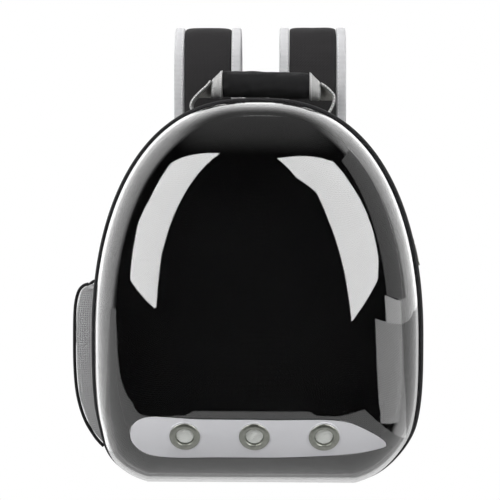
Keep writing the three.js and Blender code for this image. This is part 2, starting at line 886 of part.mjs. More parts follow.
// An elbow is a flat strap with a web that fills the bend beside the cuff.
function handleElbow(side) {
  const cuffEnd = gripCentre(side * (gripHalfLength + 2 * gap + cuffLength));
  const cuffHeight = gripHeight + 2 * cuffProud;
  const cuffFoot = cuffEnd.z - cuffHeight / 2;
  const top = cuffFoot + cuffHeight * cuffTaper - elbowThickness / 2;
  const widest = elbowShift + side * elbowSpan;
  const line = elbowLines[side < 0 ? "left" : "right"];
  const points = line.map(
    ({ out, down }) =>
      new THREE.Vector3(
        THREE.MathUtils.lerp(cuffEnd.x, widest, out),
        handleDepthPlace,
        top - elbowDrop * down,
      ),
  );
  const steps = 2 * (line.length - 1);
  const path = new THREE.CatmullRomCurve3(points).getPoints(steps);
  const half = elbowWidth / 2;
  const loops = path.map((centre, i) => {
    const before = path[Math.max(i - 1, 0)];
    const after = path[Math.min(i + 1, steps)];
    const along = after.clone().sub(before).setZ(i === 0 ? 0 : after.z - before.z);
    const across = along.cross(new THREE.Vector3(0, 1, 0)).setLength(elbowThickness / 2);
    return [
      [-half, -1],
      [half, -1],
      [half, 1],
      [-half, 1],
    ].map(([y, a]) => centre.clone().addScaledVector(across, a).setY(centre.y + y));
  });
  const bend = path.slice(0, path.findIndex((p) => p.z < cuffFoot));
  const edge = [...bend.map((p) => [p.x, p.z]), [bend.at(-1).x, cuffFoot], [cuffEnd.x, cuffFoot]];
  const front = handleDepthPlace - elbowWebThickness / 2;
  const web = slab(shapeOf(side < 0 ? edge : edge.reverse()), front, front + elbowWebThickness);
  return toGeometry(toSolid(loftWithEnds(loops)).add(toSolid(web)).subtract(tubBulk()));
}

// A ladder lock's own frame: v runs down the webbing, w away from the wearer's back.
function lockFrame(side) {
  const path = strapPath(side);
  const end = path[path.length - 1];
  const anchor = new THREE.Vector3(side * anchorPlace, backFace + webbingStand, anchorLevel);
  const down = anchor.clone().sub(end).normalize();
  const across = new THREE.Vector3(1, 0, 0).addScaledVector(down, -down.x).normalize();
  const out = down.clone().cross(across).normalize();
  if (out.y < 0) out.negate();
  return { origin: end, down, across, out, anchor };
}

function inLock(frame, u, v, w) {
  return frame.origin
    .clone()
    .addScaledVector(frame.across, u)
    .addScaledVector(frame.down, v)
    .addScaledVector(frame.out, w);
}

function ribbon(frame, line, width) {
  const half = width / 2;
  const loops = line.map(({ v, w }, i) => {
    const before = line[Math.max(i - 1, 0)];
    const after = line[Math.min(i + 1, line.length - 1)];
    const length = Math.hypot(after.v - before.v, after.w - before.w);
    const dv = ((after.w - before.w) / length) * (webbingThickness / 2);
    const dw = ((after.v - before.v) / length) * (webbingThickness / 2);
    return [
      inLock(frame, -half, v + dv, w - dw),
      inLock(frame, half, v + dv, w - dw),
      inLock(frame, half, v - dv, w + dw),
      inLock(frame, -half, v - dv, w + dw),
    ];
  });
  return loftWithEnds(loops);
}

// Half a turn round a bar, from behind it (w below 0) to in front of it.
function roundBar(centreV, radius, upwards) {
  const steps = 6;
  return Array.from({ length: steps + 1 }, (_, k) => {
    const turn = (Math.PI * k) / steps;
    return { v: centreV + upwards * radius * Math.sin(turn), w: -radius * Math.cos(turn) };
  });
}

function ladderLock(frame) {
  const half = lockWidth / 2;
  const slotHalf = webbingWidth / 2 + 2 * gap;
  const top = topBar - lockBar / 2;
  const shape = roundedPanel(-half, half, top, bottomBar + lockBar / 2, lockCorner);
  [topBar, middleBar].forEach((bar) => {
    const start = bar + lockBar / 2;
    shape.holes.push(
      new THREE.Path([
        new THREE.Vector2(-slotHalf, start),
        new THREE.Vector2(-slotHalf, start + lockSlot),
        new THREE.Vector2(slotHalf, start + lockSlot),
        new THREE.Vector2(slotHalf, start),
      ]),
    );
  });
  const flat = new THREE.ExtrudeGeometry(shape, {
    depth: lockThickness,
    bevelEnabled: false,
    curveSegments: 3,
  });
  flat.translate(0, 0, -lockThickness / 2);
  const place = new THREE.Matrix4().makeBasis(frame.across, frame.down, frame.out);
  flat.applyMatrix4(place.setPosition(frame.origin));
  if (place.determinant() > 0) return flat;
  const turnedOver = mergeVertices(flat.deleteAttribute("normal").deleteAttribute("uv"), 1e-4);
  return facingOut(turnedOver);
}

function strapTab(frame) {
  return ribbon(
    frame,
    [
      { v: tabStart, w: -wrapRadius },
      ...roundBar(topBar, wrapRadius, 1),
      { v: tabStart, w: wrapRadius },
    ],
    webbingWidth,
  );
}

// The adjusting webbing runs up behind the lock, over its middle bar, and ends in a free tail.
function adjusterWebbing(frame) {
  const length = frame.anchor.distanceTo(frame.origin);
  const rising = [
    { v: length, w: 0 },
    { v: length * webbingBendShare, w: -wrapRadius / 2 },
    { v: bottomBar + lockBar, w: -wrapRadius },
  ];
  const bend = roundBar(middleBar, wrapRadius, -1);
  const tail = [{ v: middleBar + tailLength, w: wrapRadius }];
  const body = toSolid(ribbon(frame, [...rising, ...bend, ...tail], webbingWidth));
  const foot = new THREE.Vector3(frame.anchor.x, frame.anchor.y, anchorLevel);
  const flat = new THREE.BoxGeometry(webbingWidth, webbingThickness, webbingOverlap);
  flat.translate(foot.x, foot.y, foot.z - webbingOverlap / 2 + webbingThickness / 2);
  return toGeometry(body.add(toSolid(flat)));
}

function anchorTab(side) {
  const x = side * anchorPlace;
  const half = anchorTabSize / 2;
  const low = anchorLevel - webbingOverlap - cutMargin;
  const shape = shapeOf([
    [x - half, low],
    [x + half, low],
    [x + half * anchorTabTaper, anchorLevel + cutMargin],
    [x - half * anchorTabTaper, anchorLevel + cutMargin],
  ]);
  return slab(shape, backFace + gap, backFace + gap + anchorTabThickness);
}

// Side pocket. Each row: share of the way up the pocket, share of the full bulge there.
const pocketProfile = [
  { up: 0, out: 0.22 },
  { up: 0.07, out: 0.5 },
  { up: 0.17, out: 0.76 },
  { up: 0.33, out: 0.95 },
  { up: 0.5, out: 1 },
  { up: 0.7, out: 1 },
  { up: 0.88, out: 0.98 },
  { up: 0.96, out: 0.86 },
  { up: 1, out: 0.66 },
];

function pocketPoint(up, out) {
  const { point, normal } = sideAt(THREE.MathUtils.lerp(pocketBottom, pocketTop, up), -1);
  return point.clone().addScaledVector(normal, out);
}

// The pocket's front view, from inside the tub's wall out to its bulge, thinner by a wall if asked.
function pocketOutline(wall) {
  const sunk = gussetBackInset + wall;
  const outer = pocketProfile.map(({ up, out }) => pocketPoint(up, out * pocketBulge - wall));
  const inner = pocketProfile.map(({ up }) => pocketPoint(up, -sunk));
  if (wall > 0) {
    const floor = wall / (pocketTop - pocketBottom);
    const over = new THREE.Vector2(0, cutMargin);
    outer[0] = pocketPoint(floor, pocketProfile[0].out * pocketBulge - wall);
    inner[0] = pocketPoint(floor, -sunk);
    outer.push(outer.at(-1).clone().add(over));
    inner.push(inner.at(-1).clone().add(over));
  }
  return new THREE.Shape([...outer, ...inner.reverse()]);
}

function sidePocket() {
  const back = pocketFrontPlace + pocketDepth;
  const block = toSolid(slab(pocketOutline(0), pocketFrontPlace, back));
  const hollow = slab(pocketOutline(pocketWall), pocketFrontPlace + pocketWall, back - pocketWall);
  return toGeometry(block.subtract(toSolid(hollow)).subtract(tubBulk()));
}

function pocketPiping(y) {
  const edge = pocketProfile.map(({ up, out }) => pocketPoint(up, out * pocketBulge));
  const path = edge.map((spot, i) => {
    const before = edge[Math.max(i - 1, 0)];
    const after = edge[Math.min(i + 1, edge.length - 1)];
    const along = after.clone().sub(before).normalize();
    const step = edge[Math.min(i + 1, edge.length - 1)]
      .clone()
      .sub(edge[Math.min(i, edge.length - 2)])
      .normalize();
    const away = (pocketPipingRadius + 2 * gap) / along.dot(step);
    return new THREE.Vector3(spot.x - along.y * away, y, spot.y + along.x * away);
  });
  const loops = path.map((centre, i) => {
    const before = path[Math.max(i - 1, 0)];
    const after = path[Math.min(i + 1, path.length - 1)];
    const across = after.clone().sub(before).cross(new THREE.Vector3(0, 1, 0)).normalize();
    return roundSection(2 * pocketPipingRadius, 2 * pocketPipingRadius, 8).map(([a, b]) =>
      new THREE.Vector3(centre.x, centre.y + a, centre.z).addScaledVector(across, b),
    );
  });
  return loftWithEnds(loops);
}

addPiece("gusset_band", gussetBand(), blackCloth);
addPiece("back_panel", backPanel(), blackCloth);
addPiece("back_piping", backPiping(), blackBinding);
addPiece("zip_band", zipBand(), blackBinding);
addPiece("zip_slider", zipSlider(), ringMetal);
addPiece("rim_binding", rimBinding(), blackBinding);

const shell = toSolid(domeShell());
const vents = ventPlaces();
addPiece("bubble_dome", toGeometry(shell.subtract(stripCutter(0))), clearPlastic);
addPiece("vent_strip", ventStrip(shell, vents), paleStrip);
vents.forEach((place, k) => {
  addPiece(`vent_ring_${k + 1}`, ventRing(place), ringMetal);
  addPiece(`vent_screen_${k + 1}`, ventScreen(place), paleScreen);
});

addPiece("handle_grip", handleGrip(), blackCloth);
[
  ["left", -1],
  ["right", 1],
].forEach(([label, side]) => {
  addPiece(`handle_cuff_${label}`, handleCuff(side), greyLeather);
  addPiece(`handle_elbow_${label}`, handleElbow(side), greyLeather);
  addStrap(label, side);
  addPiece(`back_pad_${label}`, backPad(side), blackMesh);
  const frame = lockFrame(side);
  addPiece(`ladder_lock_${label}`, ladderLock(frame), blackPlastic);
  addPiece(`strap_tab_${label}`, strapTab(frame), blackBinding);
  addPiece(`adjuster_webbing_${label}`, adjusterWebbing(frame), blackBinding);
  addPiece(`anchor_tab_${label}`, anchorTab(side), blackCloth);
});
addPiece("strap_yoke", strapYoke(), blackCloth);

addPiece("side_pocket", sidePocket(), greyMesh);
addPiece("pocket_piping_front", pocketPiping(pocketFrontPlace + pocketPipingRadius), blackBinding);
addPiece(
  "pocket_piping_rear",
  pocketPiping(pocketFrontPlace + pocketDepth - pocketPipingRadius),
  blackBinding,
);

export default carrier;
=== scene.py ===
import math

import bpy
import numpy as np
from mathutils import Matrix, Vector


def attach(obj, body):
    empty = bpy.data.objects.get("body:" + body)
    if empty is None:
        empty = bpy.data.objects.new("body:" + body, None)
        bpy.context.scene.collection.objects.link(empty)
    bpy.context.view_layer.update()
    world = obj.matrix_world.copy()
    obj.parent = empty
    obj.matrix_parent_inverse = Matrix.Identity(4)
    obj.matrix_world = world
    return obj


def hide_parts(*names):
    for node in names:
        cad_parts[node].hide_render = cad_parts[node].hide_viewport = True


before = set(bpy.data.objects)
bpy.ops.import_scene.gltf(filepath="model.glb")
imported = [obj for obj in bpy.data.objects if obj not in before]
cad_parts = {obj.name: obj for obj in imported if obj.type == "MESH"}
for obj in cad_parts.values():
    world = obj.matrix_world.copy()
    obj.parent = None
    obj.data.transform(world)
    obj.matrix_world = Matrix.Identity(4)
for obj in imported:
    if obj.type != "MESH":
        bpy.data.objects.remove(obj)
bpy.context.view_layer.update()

bl_info = {
    "name": "Bubble carrier backpack",
    "version": (1, 0, 0),
    "blender": (4, 5, 0),
    "location": "3D View > Sidebar > Carrier",
    "description": "A pet carrier backpack with a clear dome, ringed vents and padded straps",
    "category": "Add Mesh",
}

MM = 0.001
AROUND = 320  # points round the tub's outline
SIDES = (("left", -1), ("right", 1))
CROWN_POWERS = (2.47, 2.16)  # superellipse powers of the outline, across and upwards
BASE_POWERS = (4.4, 3.4)
DOME_POWERS = (2.2, 3.1)  # the same for the dome's side, inwards and forwards
RIM_WIDTH = (5.6 * MM, 4.0 * MM, 3.0 * MM)  # at the sides, the crown and the base
DOME_EDGE = (2.0 * MM, 1.6 * MM, 1.2 * MM)
DOME_ROOT = (5.9 * MM, 4.3 * MM, 3.3 * MM)
BOX_FACES = (
    (0, 1, 2, 3), (4, 7, 6, 5), (0, 4, 5, 1), (1, 5, 6, 2), (2, 6, 7, 3), (3, 7, 4, 0),
)
ANCHOR_PLACE = 92 * MM  # middle of a lower anchor from the middle plane
GAP = 0.3 * MM  # clear space between neighbouring pieces
WEBBING_WALL = 1.55 * MM  # thickness of the webbing
SEAM_PROUD = 0.7 * MM  # how far the base cloth's lap stands out from the wall
GRIP_SLOPE = 0.025  # how far the grip drops towards the right, as a share of its length
CUFF_TAPER = 0.62  # height of a cuff's outer end, as a share of its inner end
STRAP_END = 0.62  # width of a strap's lower end, as a share of its full width


def linear(code):
    """A colour written as sRGB hex, as linear values with full opacity."""
    parts = [int(code[i : i + 2], 16) / 255 for i in (1, 3, 5)]
    turned = [c / 12.92 if c <= 0.04045 else ((c + 0.055) / 1.055) ** 2.4 for c in parts]
    return (*turned, 1.0)


def length_setting(name, description, default):
    return bpy.props.FloatProperty(
        name=name, description=description, default=default, min=0.0, unit="LENGTH", precision=4
    )


def place_setting(name, description, default):
    return bpy.props.FloatProperty(
        name=name, description=description, default=default, unit="LENGTH", precision=4
    )


def colour_setting(name, description, code):
    return bpy.props.FloatVectorProperty(
        name=name,
        description=description,
        default=linear(code),
        size=4,
        min=0.0,
        max=1.0,
        subtype="COLOR",
    )


class TubSizes(bpy.types.PropertyGroup):
    """The fabric tub: its outline seen from the front, and its places from front to back."""

    width: length_setting("Width", "Widest part of the tub", 340 * MM)
    height: length_setting("Height", "Floor to crown", 393 * MM)
    widest_level: length_setting("Widest level", "Height of the widest part", 148.6 * MM)
    sag: length_setting("Sag", "How far the free outline hangs below the floor", 6 * MM)
    lean: length_setting("Lean", "How far the soft base has slipped to the left", 5 * MM)
    front: place_setting("Front", "Front edge of the gusset along Y", -50 * MM)
    back: place_setting("Back", "Rear edge of the gusset along Y", 50 * MM)
    wall: length_setting("Wall", "Thickness of the padded gusset", 4 * MM)
    zip_front: place_setting("Zip front", "Front edge of the zip tape", -57.3 * MM)
    zip_back: place_setting("Zip back", "Rear edge of the zip tape", -50.3 * MM)
    rim_front: place_setting("Rim front", "Front of the dome's binding", -67.9 * MM)
    rim_back: place_setting("Rim back", "Rear of the dome's binding", -59.9 * MM)
    panel_front: place_setting("Panel front", "Front face of the back panel", 50.3 * MM)
    panel_back: place_setting("Panel back", "Rear face of the back panel", 56.3 * MM)
    slider_level: length_setting("Slider level", "Height of the zip slider", 247 * MM)


class DomeSizes(bpy.types.PropertyGroup):
    """The clear dome and the pale vent strip let into it."""

    depth: length_setting("Depth", "How far the dome stands before its flange", 120 * MM)
    wall: length_setting("Wall", "Thickness of the clear plastic", 2 * MM)
    root: place_setting("Root", "Place of the flange along Y", -59.6 * MM)
    centre_level: length_setting("Centre level", "Height of the dome's foremost point", 190 * MM)
    strip_left: place_setting("Strip left", "Left end of the vent strip", -122 * MM)
    strip_right: place_setting("Strip right", "Right end of the vent strip", 130 * MM)
    strip_top: length_setting("Strip top", "Upper edge of the vent strip", 79 * MM)
    strip_bottom: length_setting("Strip bottom", "Lower edge of the vent strip", 39 * MM)
    vent_spacing: length_setting("Vent spacing", "Distance between vents", 67 * MM)
    vent_level: length_setting("Vent level", "Height of the vents", 61.5 * MM)


class HandleSizes(bpy.types.PropertyGroup):
    """The padded grab handle on the crown."""

    level: length_setting("Level", "Height of the grip's centre line", 411.6 * MM)
    place: place_setting("Place", "Middle of the handle along Y", 10 * MM)
    shift: place_setting("Shift", "Middle of the grip along X", 7.7 * MM)
    half_length: length_setting("Half length", "Half the length of the grip", 46 * MM)
    height: length_setting("Height", "Height of the grip's section", 28 * MM)
    width: length_setting("Width", "Width of the grip's section", 33 * MM)
    cuff_length: length_setting("Cuff length", "Length of a cuff", 11.7 * MM)
    cuff_proud: length_setting("Cuff proud", "How far a cuff stands out from the grip", 1.2 * MM)
    end_width: length_setting("End width", "Width of the flat ends", 30 * MM)
    end_thickness: length_setting("End thickness", "Thickness of the flat ends", 3 * MM)


class StrapSizes(bpy.types.PropertyGroup):
    """The padded shoulder straps and their lower ends."""

    width: length_setting("Width", "Width over both bindings", 73.5 * MM)
    thickness: length_setting("Thickness", "Thickness of the padding", 11 * MM)
    binding: length_setting("Binding", "Width of the grey binding along an edge", 10.8 * MM)
    place: length_setting("Place", "Middle of a strap from the middle plane", 58 * MM)
    root_place: place_setting("Root place", "A strap's root along Y", 62.1 * MM)
    root_level: length_setting("Root level", "Height of a strap's root", 326 * MM)
    end_level: length_setting("End level", "Height of a strap's lower end", 205 * MM)
    peak_level: length_setting("Peak level", "Highest point of a strap", 482 * MM)
    reach: length_setting("Reach", "How far the hanging half stands behind the other", 68 * MM)
    webbing: length_setting("Webbing", "Width of the webbing", 25 * MM)


class PocketSizes(bpy.types.PropertyGroup):
    """The mesh pocket on the left side."""

    top: length_setting("Top", "Height of the pocket's open edge", 198 * MM)
    bottom: length_setting("Bottom", "Height of the pocket's foot", 34 * MM)
    bulge: length_setting("Bulge", "How far the pocket stands out from the tub", 20 * MM)
    front: place_setting("Front", "Front side of the pocket along Y", -34 * MM)
    depth: length_setting("Depth", "Front to back", 72 * MM)


class CarrierColours(bpy.types.PropertyGroup):
    """Colours of cloth, trim and plastic."""

    tub: colour_setting("Tub cloth", "Cloth of the gusset and back panel", "#1b1b1d")
    strap: colour_setting("Strap cloth", "Cloth on the straps' padding", "#222122")
    binding: colour_setting("Black binding", "Binding, piping and webbing", "#131315")
    trim: colour_setting("Grey binding", "Binding along the straps", "#cbcbcd")
    cuffs: colour_setting("Handle trim", "Cuffs and ends of the handle", "#b2b2b1")
    pocket: colour_setting("Pocket mesh", "Mesh of the side pocket", "#b2b2b3")
    strip: colour_setting("Vent strip", "Moulded strip that holds the vents", "#d6d6da")


# Shared tools for shaping


def settings_of(name):
    return getattr(bpy.context.scene, "carrier_" + name)


def only(*pieces):
    """Selects the given objects and nothing else."""
    if bpy.context.mode != "OBJECT":
        bpy.ops.object.mode_set(mode="OBJECT")
    bpy.ops.object.select_all(action="DESELECT")
    for piece in pieces:
        piece.select_set(True)
        bpy.context.view_layer.objects.active = piece


def edit_all(piece):
    only(piece)
    bpy.ops.object.mode_set(mode="EDIT")
    bpy.ops.mesh.select_all(action="SELECT")


def close_up(piece, reach=0.01 * MM):
    """Merges the doubles of seams and poles and turns the faces outwards."""
    edit_all(piece)
    bpy.ops.mesh.remove_doubles(threshold=reach)
    bpy.ops.mesh.normals_make_consistent(inside=False)
    bpy.ops.object.mode_set(mode="OBJECT")


def apply_modifiers(piece):
    only(piece)
    for modifier in list(piece.modifiers):
        bpy.ops.object.modifier_apply(modifier=modifier.name)


def settle(piece):
    """Moves the object's place and turn into its mesh."""
    only(piece)
    bpy.ops.object.transform_apply(location=True, rotation=True, scale=True)


def smooth(piece, angle=35):
    only(piece)
    bpy.ops.object.shade_smooth_by_angle(angle=math.radians(angle))


def named(piece, name):
    piece.name = name
    piece.data.name = name
    return piece


def take_edge_off(piece, width, segments=2, angle=40):
    bevel = piece.modifiers.new("Edge", "BEVEL")
    bevel.width = width
    bevel.segments = segments
    bevel.limit_method = "ANGLE"
    bevel.angle_limit = math.radians(angle)
    apply_modifiers(piece)


def combine(piece, tool, operation):
    """Cuts, joins or intersects the piece with the tool, and removes the tool."""
    cutter = piece.modifiers.new("Cut", "BOOLEAN")
    cutter.operation = operation
    cutter.solver = "EXACT"
    cutter.object = tool
    apply_modifiers(piece)
    mesh = tool.data
    bpy.data.objects.remove(tool)
    bpy.data.meshes.remove(mesh)


def dress(piece, material, slot, *nodes):
    """Gives a finished piece its material and body, and hides the CAD nodes it stands for. The
    slot is not used.
    """
    piece.data.materials.clear()
    piece.data.materials.append(material)
    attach(piece, "root")
    if nodes:
        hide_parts(*nodes)
    return piece


def skin(name, rows, around=True):
    """A grid shaped to rows of points. Its UV map is in metres, so that cloth keeps its scale.

    Rows that go right round are joined at their ends, and a row whose points all lie in one
    place closes the skin there.
    """
    rows = np.asarray(rows, float)
    if around:
        rows = np.concatenate([rows, rows[:, :1]], axis=1)
    height, width = rows.shape[:2]
    only()
    bpy.ops.mesh.primitive_grid_add(x_subdivisions=width - 1, y_subdivisions=height - 1)
    piece = named(bpy.context.object, name)
    mesh = piece.data
    mesh.vertices.foreach_set("co", rows.reshape(-1))
    along = np.linalg.norm(np.diff(rows, axis=1), axis=2).max(axis=0)
    up = np.linalg.norm(np.diff(rows, axis=0), axis=2).max(axis=1)
    u = np.concatenate([[0], np.cumsum(along)])
    v = np.concatenate([[0], np.cumsum(up)])
    corners = np.zeros(len(mesh.loops), int)
    mesh.loops.foreach_get("vertex_index", corners)
    places = np.stack([u[corners % width], v[corners // width]], axis=1)
    mesh.uv_layers.active.data.foreach_set("uv", places.reshape(-1))
    close_up(piece)
    smooth(piece)
    return piece


def free_line(count=AROUND):
    """Points and outward normals round the outline, evenly spaced from the base's middle."""
    tub = settings_of("tub")
    turn = np.linspace(-0.5, 1.5, 7201)[:-1] * math.pi
    across = np.cos(turn)
    up = np.sin(turn)
    crown = up >= 0
    spread = np.where(crown, CROWN_POWERS[0], BASE_POWERS[0])
    rise = np.where(crown, CROWN_POWERS[1], BASE_POWERS[1])
    reach = np.where(crown, tub.height - tub.widest_level, tub.widest_level + tub.sag)
    x = tub.width / 2 * np.sign(across) * np.abs(across) ** (2 / spread)
    z = tub.widest_level + reach * np.sign(up) * np.abs(up) ** (2 / rise)
    low = np.clip((60 * MM - z) / (45 * MM), 0, 1)
    line = np.stack([x - tub.lean * low**2 * (3 - 2 * low), z], axis=1)
    step = np.roll(line, -1, axis=0) - line
    size = np.linalg.norm(step, axis=1)
    normal = np.stack([step[:, 1], -step[:, 0]], axis=1) / size[:, None]
    travelled = np.concatenate([[0], np.cumsum(size)[:-1]])
    wanted = (np.arange(count) + 0.5) / count * size.sum()
    mid = travelled + size / 2
    points = [np.interp(wanted, travelled, line[:, i], period=size.sum()) for i in (0, 1)]
    normals = [np.interp(wanted, mid, normal[:, i], period=size.sum()) for i in (0, 1)]
    normals = np.stack(normals, axis=1)
    return np.stack(points, axis=1), normals / np.linalg.norm(normals, axis=1)[:, None]


def loop_at(inset, y, floor=0.0, count=AROUND):
    """The outline drawn in, no lower than a floor. An inset may be (side, top, bottom)."""
    points, normals = free_line(count)
    if isinstance(inset, tuple):
        upright = np.where(normals[:, 1] > 0, inset[1], inset[2])
        inset = inset[0] * normals[:, 0] ** 2 + upright * normals[:, 1] ** 2
    moved = points - normals * np.reshape(inset, (-1, 1))
    depth = np.broadcast_to(y, len(moved))
    return np.stack([moved[:, 0], depth, np.maximum(moved[:, 1], floor)], axis=1)


def crown_height(x, inset):
    """Height of the outline, drawn in by an inset, above a place across the tub."""
    loop = loop_at(inset, 0.0)
    upper = loop[loop[:, 2] > settings_of("tub").widest_level]
    upper = upper[np.argsort(upper[:, 0])]
    return np.interp(x, upper[:, 0], upper[:, 2])


def side_at(level, side):
    """The outline's point and outward normal where a level crosses one side."""
    points, normals = free_line()
    wall = np.sign(points[:, 0]) == side
    order = np.argsort(points[wall, 1])
    heights = points[wall, 1][order]
    point = [np.interp(level, heights, points[wall, i][order]) for i in (0, 1)]
    normal = [np.interp(level, heights, normals[wall, i][order]) for i in (0, 1)]
    return np.array(point), np.array(normal) / np.linalg.norm(normal)


def evenly(line, count):
    """The same line with evenly spaced points."""
    travelled = np.concatenate([[0], np.cumsum(np.linalg.norm(np.diff(line, axis=0), axis=1))])
    wanted = np.linspace(0, travelled[-1], count)
    return np.stack([np.interp(wanted, travelled, line[:, i]) for i in range(line.shape[1])], 1)


def smooth_line(points, count, closed=False):
    """Evenly spaced points on a smooth line through the given ones."""
    p = np.asarray(points, float)
    if closed:
        p = np.concatenate([p[-1:], p, p[:2]])
    else:
        p = np.concatenate([2 * p[:1] - p[1:2], p, 2 * p[-1:] - p[-2:-1]])
    parts = []
    for a, b, c, d in zip(p, p[1:], p[2:], p[3:]):
        knots = [0.0]
        for start, end in ((a, b), (b, c), (c, d)):
            knots.append(knots[-1] + max(np.linalg.norm(end - start), 1e-9) ** 0.5)
        k0, k1, k2, k3 = knots
        t = np.linspace(k1, k2, 30, endpoint=False)[:, None]
        ab = (k1 - t) / (k1 - k0) * a + (t - k0) / (k1 - k0) * b
        bc = (k2 - t) / (k2 - k1) * b + (t - k1) / (k2 - k1) * c
        cd = (k3 - t) / (k3 - k2) * c + (t - k2) / (k3 - k2) * d
        abc = (k2 - t) / (k2 - k0) * ab + (t - k0) / (k2 - k0) * bc
        bcd = (k3 - t) / (k3 - k1) * bc + (t - k1) / (k3 - k1) * cd
        parts.append((k2 - t) / (k2 - k1) * abc + (t - k1) / (k2 - k1) * bcd)
    line = np.concatenate([*parts, p[-2:-1]])
    if closed:
        return evenly(line, count + 1)[:-1]
    return evenly(line, count)


def directions(line):
    """Unit direction of a line at each of its points."""
    ends = np.concatenate([2 * line[:1] - line[1:2], line, 2 * line[-1:] - line[-2:-1]])
    along = ends[2:] - ends[:-2]
    return along / np.linalg.norm(along, axis=1)[:, None]


def rounded(width, height, count, power=2.0):
    """A closed section: an ellipse, or with a higher power a softly squared one."""
    turn = 2 * math.pi * np.arange(count) / count
    across = np.sign(np.cos(turn)) * np.abs(np.cos(turn)) ** (2 / power)
    up = np.sign(np.sin(turn)) * np.abs(np.sin(turn)) ** (2 / power)
    return np.stack([across * width / 2, up * height / 2], axis=1)


def carried(line, sides, outs, section, sizes=None):
    """Rows of a section carried along a line, its first number sideways, its second outwards."""
    sizes = np.ones((len(line), 2)) if sizes is None else sizes
    a = section[None, :, 0:1] * sizes[:, None, 0:1]
    b = section[None, :, 1:2] * sizes[:, None, 1:2]
    return line[:, None] + a * sides[:, None] + b * outs[:, None]


def ended(rows, bulge=0.0):
    """Rows closed at both ends, by rows that shrink to the middle and stand out a little."""
    parts = []
    for edge, inner in ((rows[0], rows[1]), (rows[-1], rows[-2])):
        middle = edge.mean(axis=0)
        away = middle - inner.mean(axis=0)
        away = away / max(np.linalg.norm(away), 1e-9) * bulge
        shares = (0.0, 0.5, 0.85)
        parts.append(
            [middle + (edge - middle) * s + away * math.sqrt(1 - s * s) for s in shares]
        )
    return np.concatenate([np.array(parts[0]), rows, np.array(parts[1][::-1])])


def uneven(u, v, seed, longest, count=14):
    """Repeatable soft unevenness between about -1 and 1, for places u and v in metres."""
    draw = np.random.default_rng(seed)
    total = np.zeros(np.broadcast(u, v).shape)
    for _ in range(count):
        way = draw.uniform(0, math.pi)
        wave = longest * draw.uniform(0.25, 1)
        phase = draw.uniform(0, 2 * math.pi)
        total += np.sin(2 * math.pi * (u * math.cos(way) + v * math.sin(way)) / wave + phase)
    return total / math.sqrt(count)


def from_faces(name, points, faces, angle):
    """A piece from its points and faces, facing outwards and shaded smoothly."""
    mesh = bpy.data.meshes.new(name)
    mesh.from_pydata(points, [], faces)
    piece = bpy.data.objects.new(name, mesh)
    bpy.context.collection.objects.link(piece)
    edit_all(piece)
    bpy.ops.mesh.normals_make_consistent(inside=False)
    smooth(piece, angle)
    return piece


def turn_over(piece):
    edit_all(piece)
    bpy.ops.mesh.flip_normals()
    bpy.ops.object.mode_set(mode="OBJECT")


def block(name, middle, size):
    """A box as a start, its place and size in its mesh."""
    only()
    bpy.ops.mesh.primitive_cube_add(size=1, location=middle)
    box = named(bpy.context.object, name)
    box.scale = size
    settle(box)
    return box


def stitches(name, runs, material, slot, pitch=3.4 * MM, thread=0.7 * MM):
    """Short raised stitches along runs. A run is a line of points and the way out at each.

    A stitch is drawn longer and thicker than real sewing thread, so that it shows.
    """
    section = rounded(thread, thread * 0.8, 6)
    stations = np.array([-0.5, -0.3, 0.3, 0.5]) * pitch * 0.72
    girth = np.array([0.15, 1, 1, 0.15])
    points = []
    faces = []
    for line, outs in runs:
        both = np.concatenate([line, outs], axis=1)
        size = np.linalg.norm(np.diff(line, axis=0), axis=1).sum()
        spots = evenly_by(both, max(int(size / pitch), 2))
        along = directions(spots[:, :3])
        out = spots[:, 3:] / np.linalg.norm(spots[:, 3:], axis=1)[:, None]
        side = np.cross(along, out)
        for place, a, o, s in zip(spots[:, :3], along, out, side):
            first = len(points)
            for reach, width in zip(stations, girth):
                for across, up in section:
                    points.append(place + a * reach + s * across * width + o * up * width)
            for k in range(3):
                for i in range(6):
                    j = (i + 1) % 6
                    corner = first + 6 * k
                    faces.append((corner + i, corner + j, corner + 6 + j, corner + 6 + i))
            faces.append([first + i for i in reversed(range(6))])
            faces.append([first + 18 + i for i in range(6)])
    return dress(from_faces(name, points, faces, 60), material, slot)


def evenly_by(line, count):
    """Evenly spaced by the first three numbers of each row."""
    travelled = np.linalg.norm(np.diff(line[:, :3], axis=0), axis=1)
    travelled = np.concatenate([[0], np.cumsum(travelled)])
    wanted = (np.arange(count) + 0.5) / count * travelled[-1]
    return np.stack([np.interp(wanted, travelled, line[:, i]) for i in range(line.shape[1])], 1)


def round_outline(inset, y, floor=0.0):
    """A stitch run round the tub: points on it and the ways out."""
    _, normals = free_line()
    line = loop_at(inset, y, floor)
    outs = np.stack([normals[:, 0], np.zeros(len(normals)), normals[:, 1]], axis=1)
    outs[line[:, 2] <= floor + 0.01 * MM] = (0, 0, -1)
    return np.concatenate([line, line[:1]]), np.concatenate([outs, outs[:1]])


# Materials


def add(tree, kind, values=None, links=None):
    """Adds one node, with its settings or socket values by name, and its incoming links."""
    node = tree.nodes.new("ShaderNode" + kind)
    for name, value in (values or {}).items():
        if isinstance(name, str) and hasattr(node, name):
            setattr(node, name, value)
        else:
            node.inputs[name].default_value = value
    for name, source in (links or {}).items():
        tree.links.new(source, node.inputs[name])
    return node


def finish_of(name, **sockets):
    """A new material with its Principled shader's sockets set."""
    material = bpy.data.materials.new(name)
    material.use_nodes = True
    tree = material.node_tree
    shader = tree.nodes["Principled BSDF"]
    for socket, value in sockets.items():
        shader.inputs[socket.replace("_", " ")].default_value = value
    return material, tree, shader


def shade_of(colour, share):
    """The same colour, lighter or darker."""
    return (*[min(c * share, 1.0) for c in colour[:3]], 1.0)


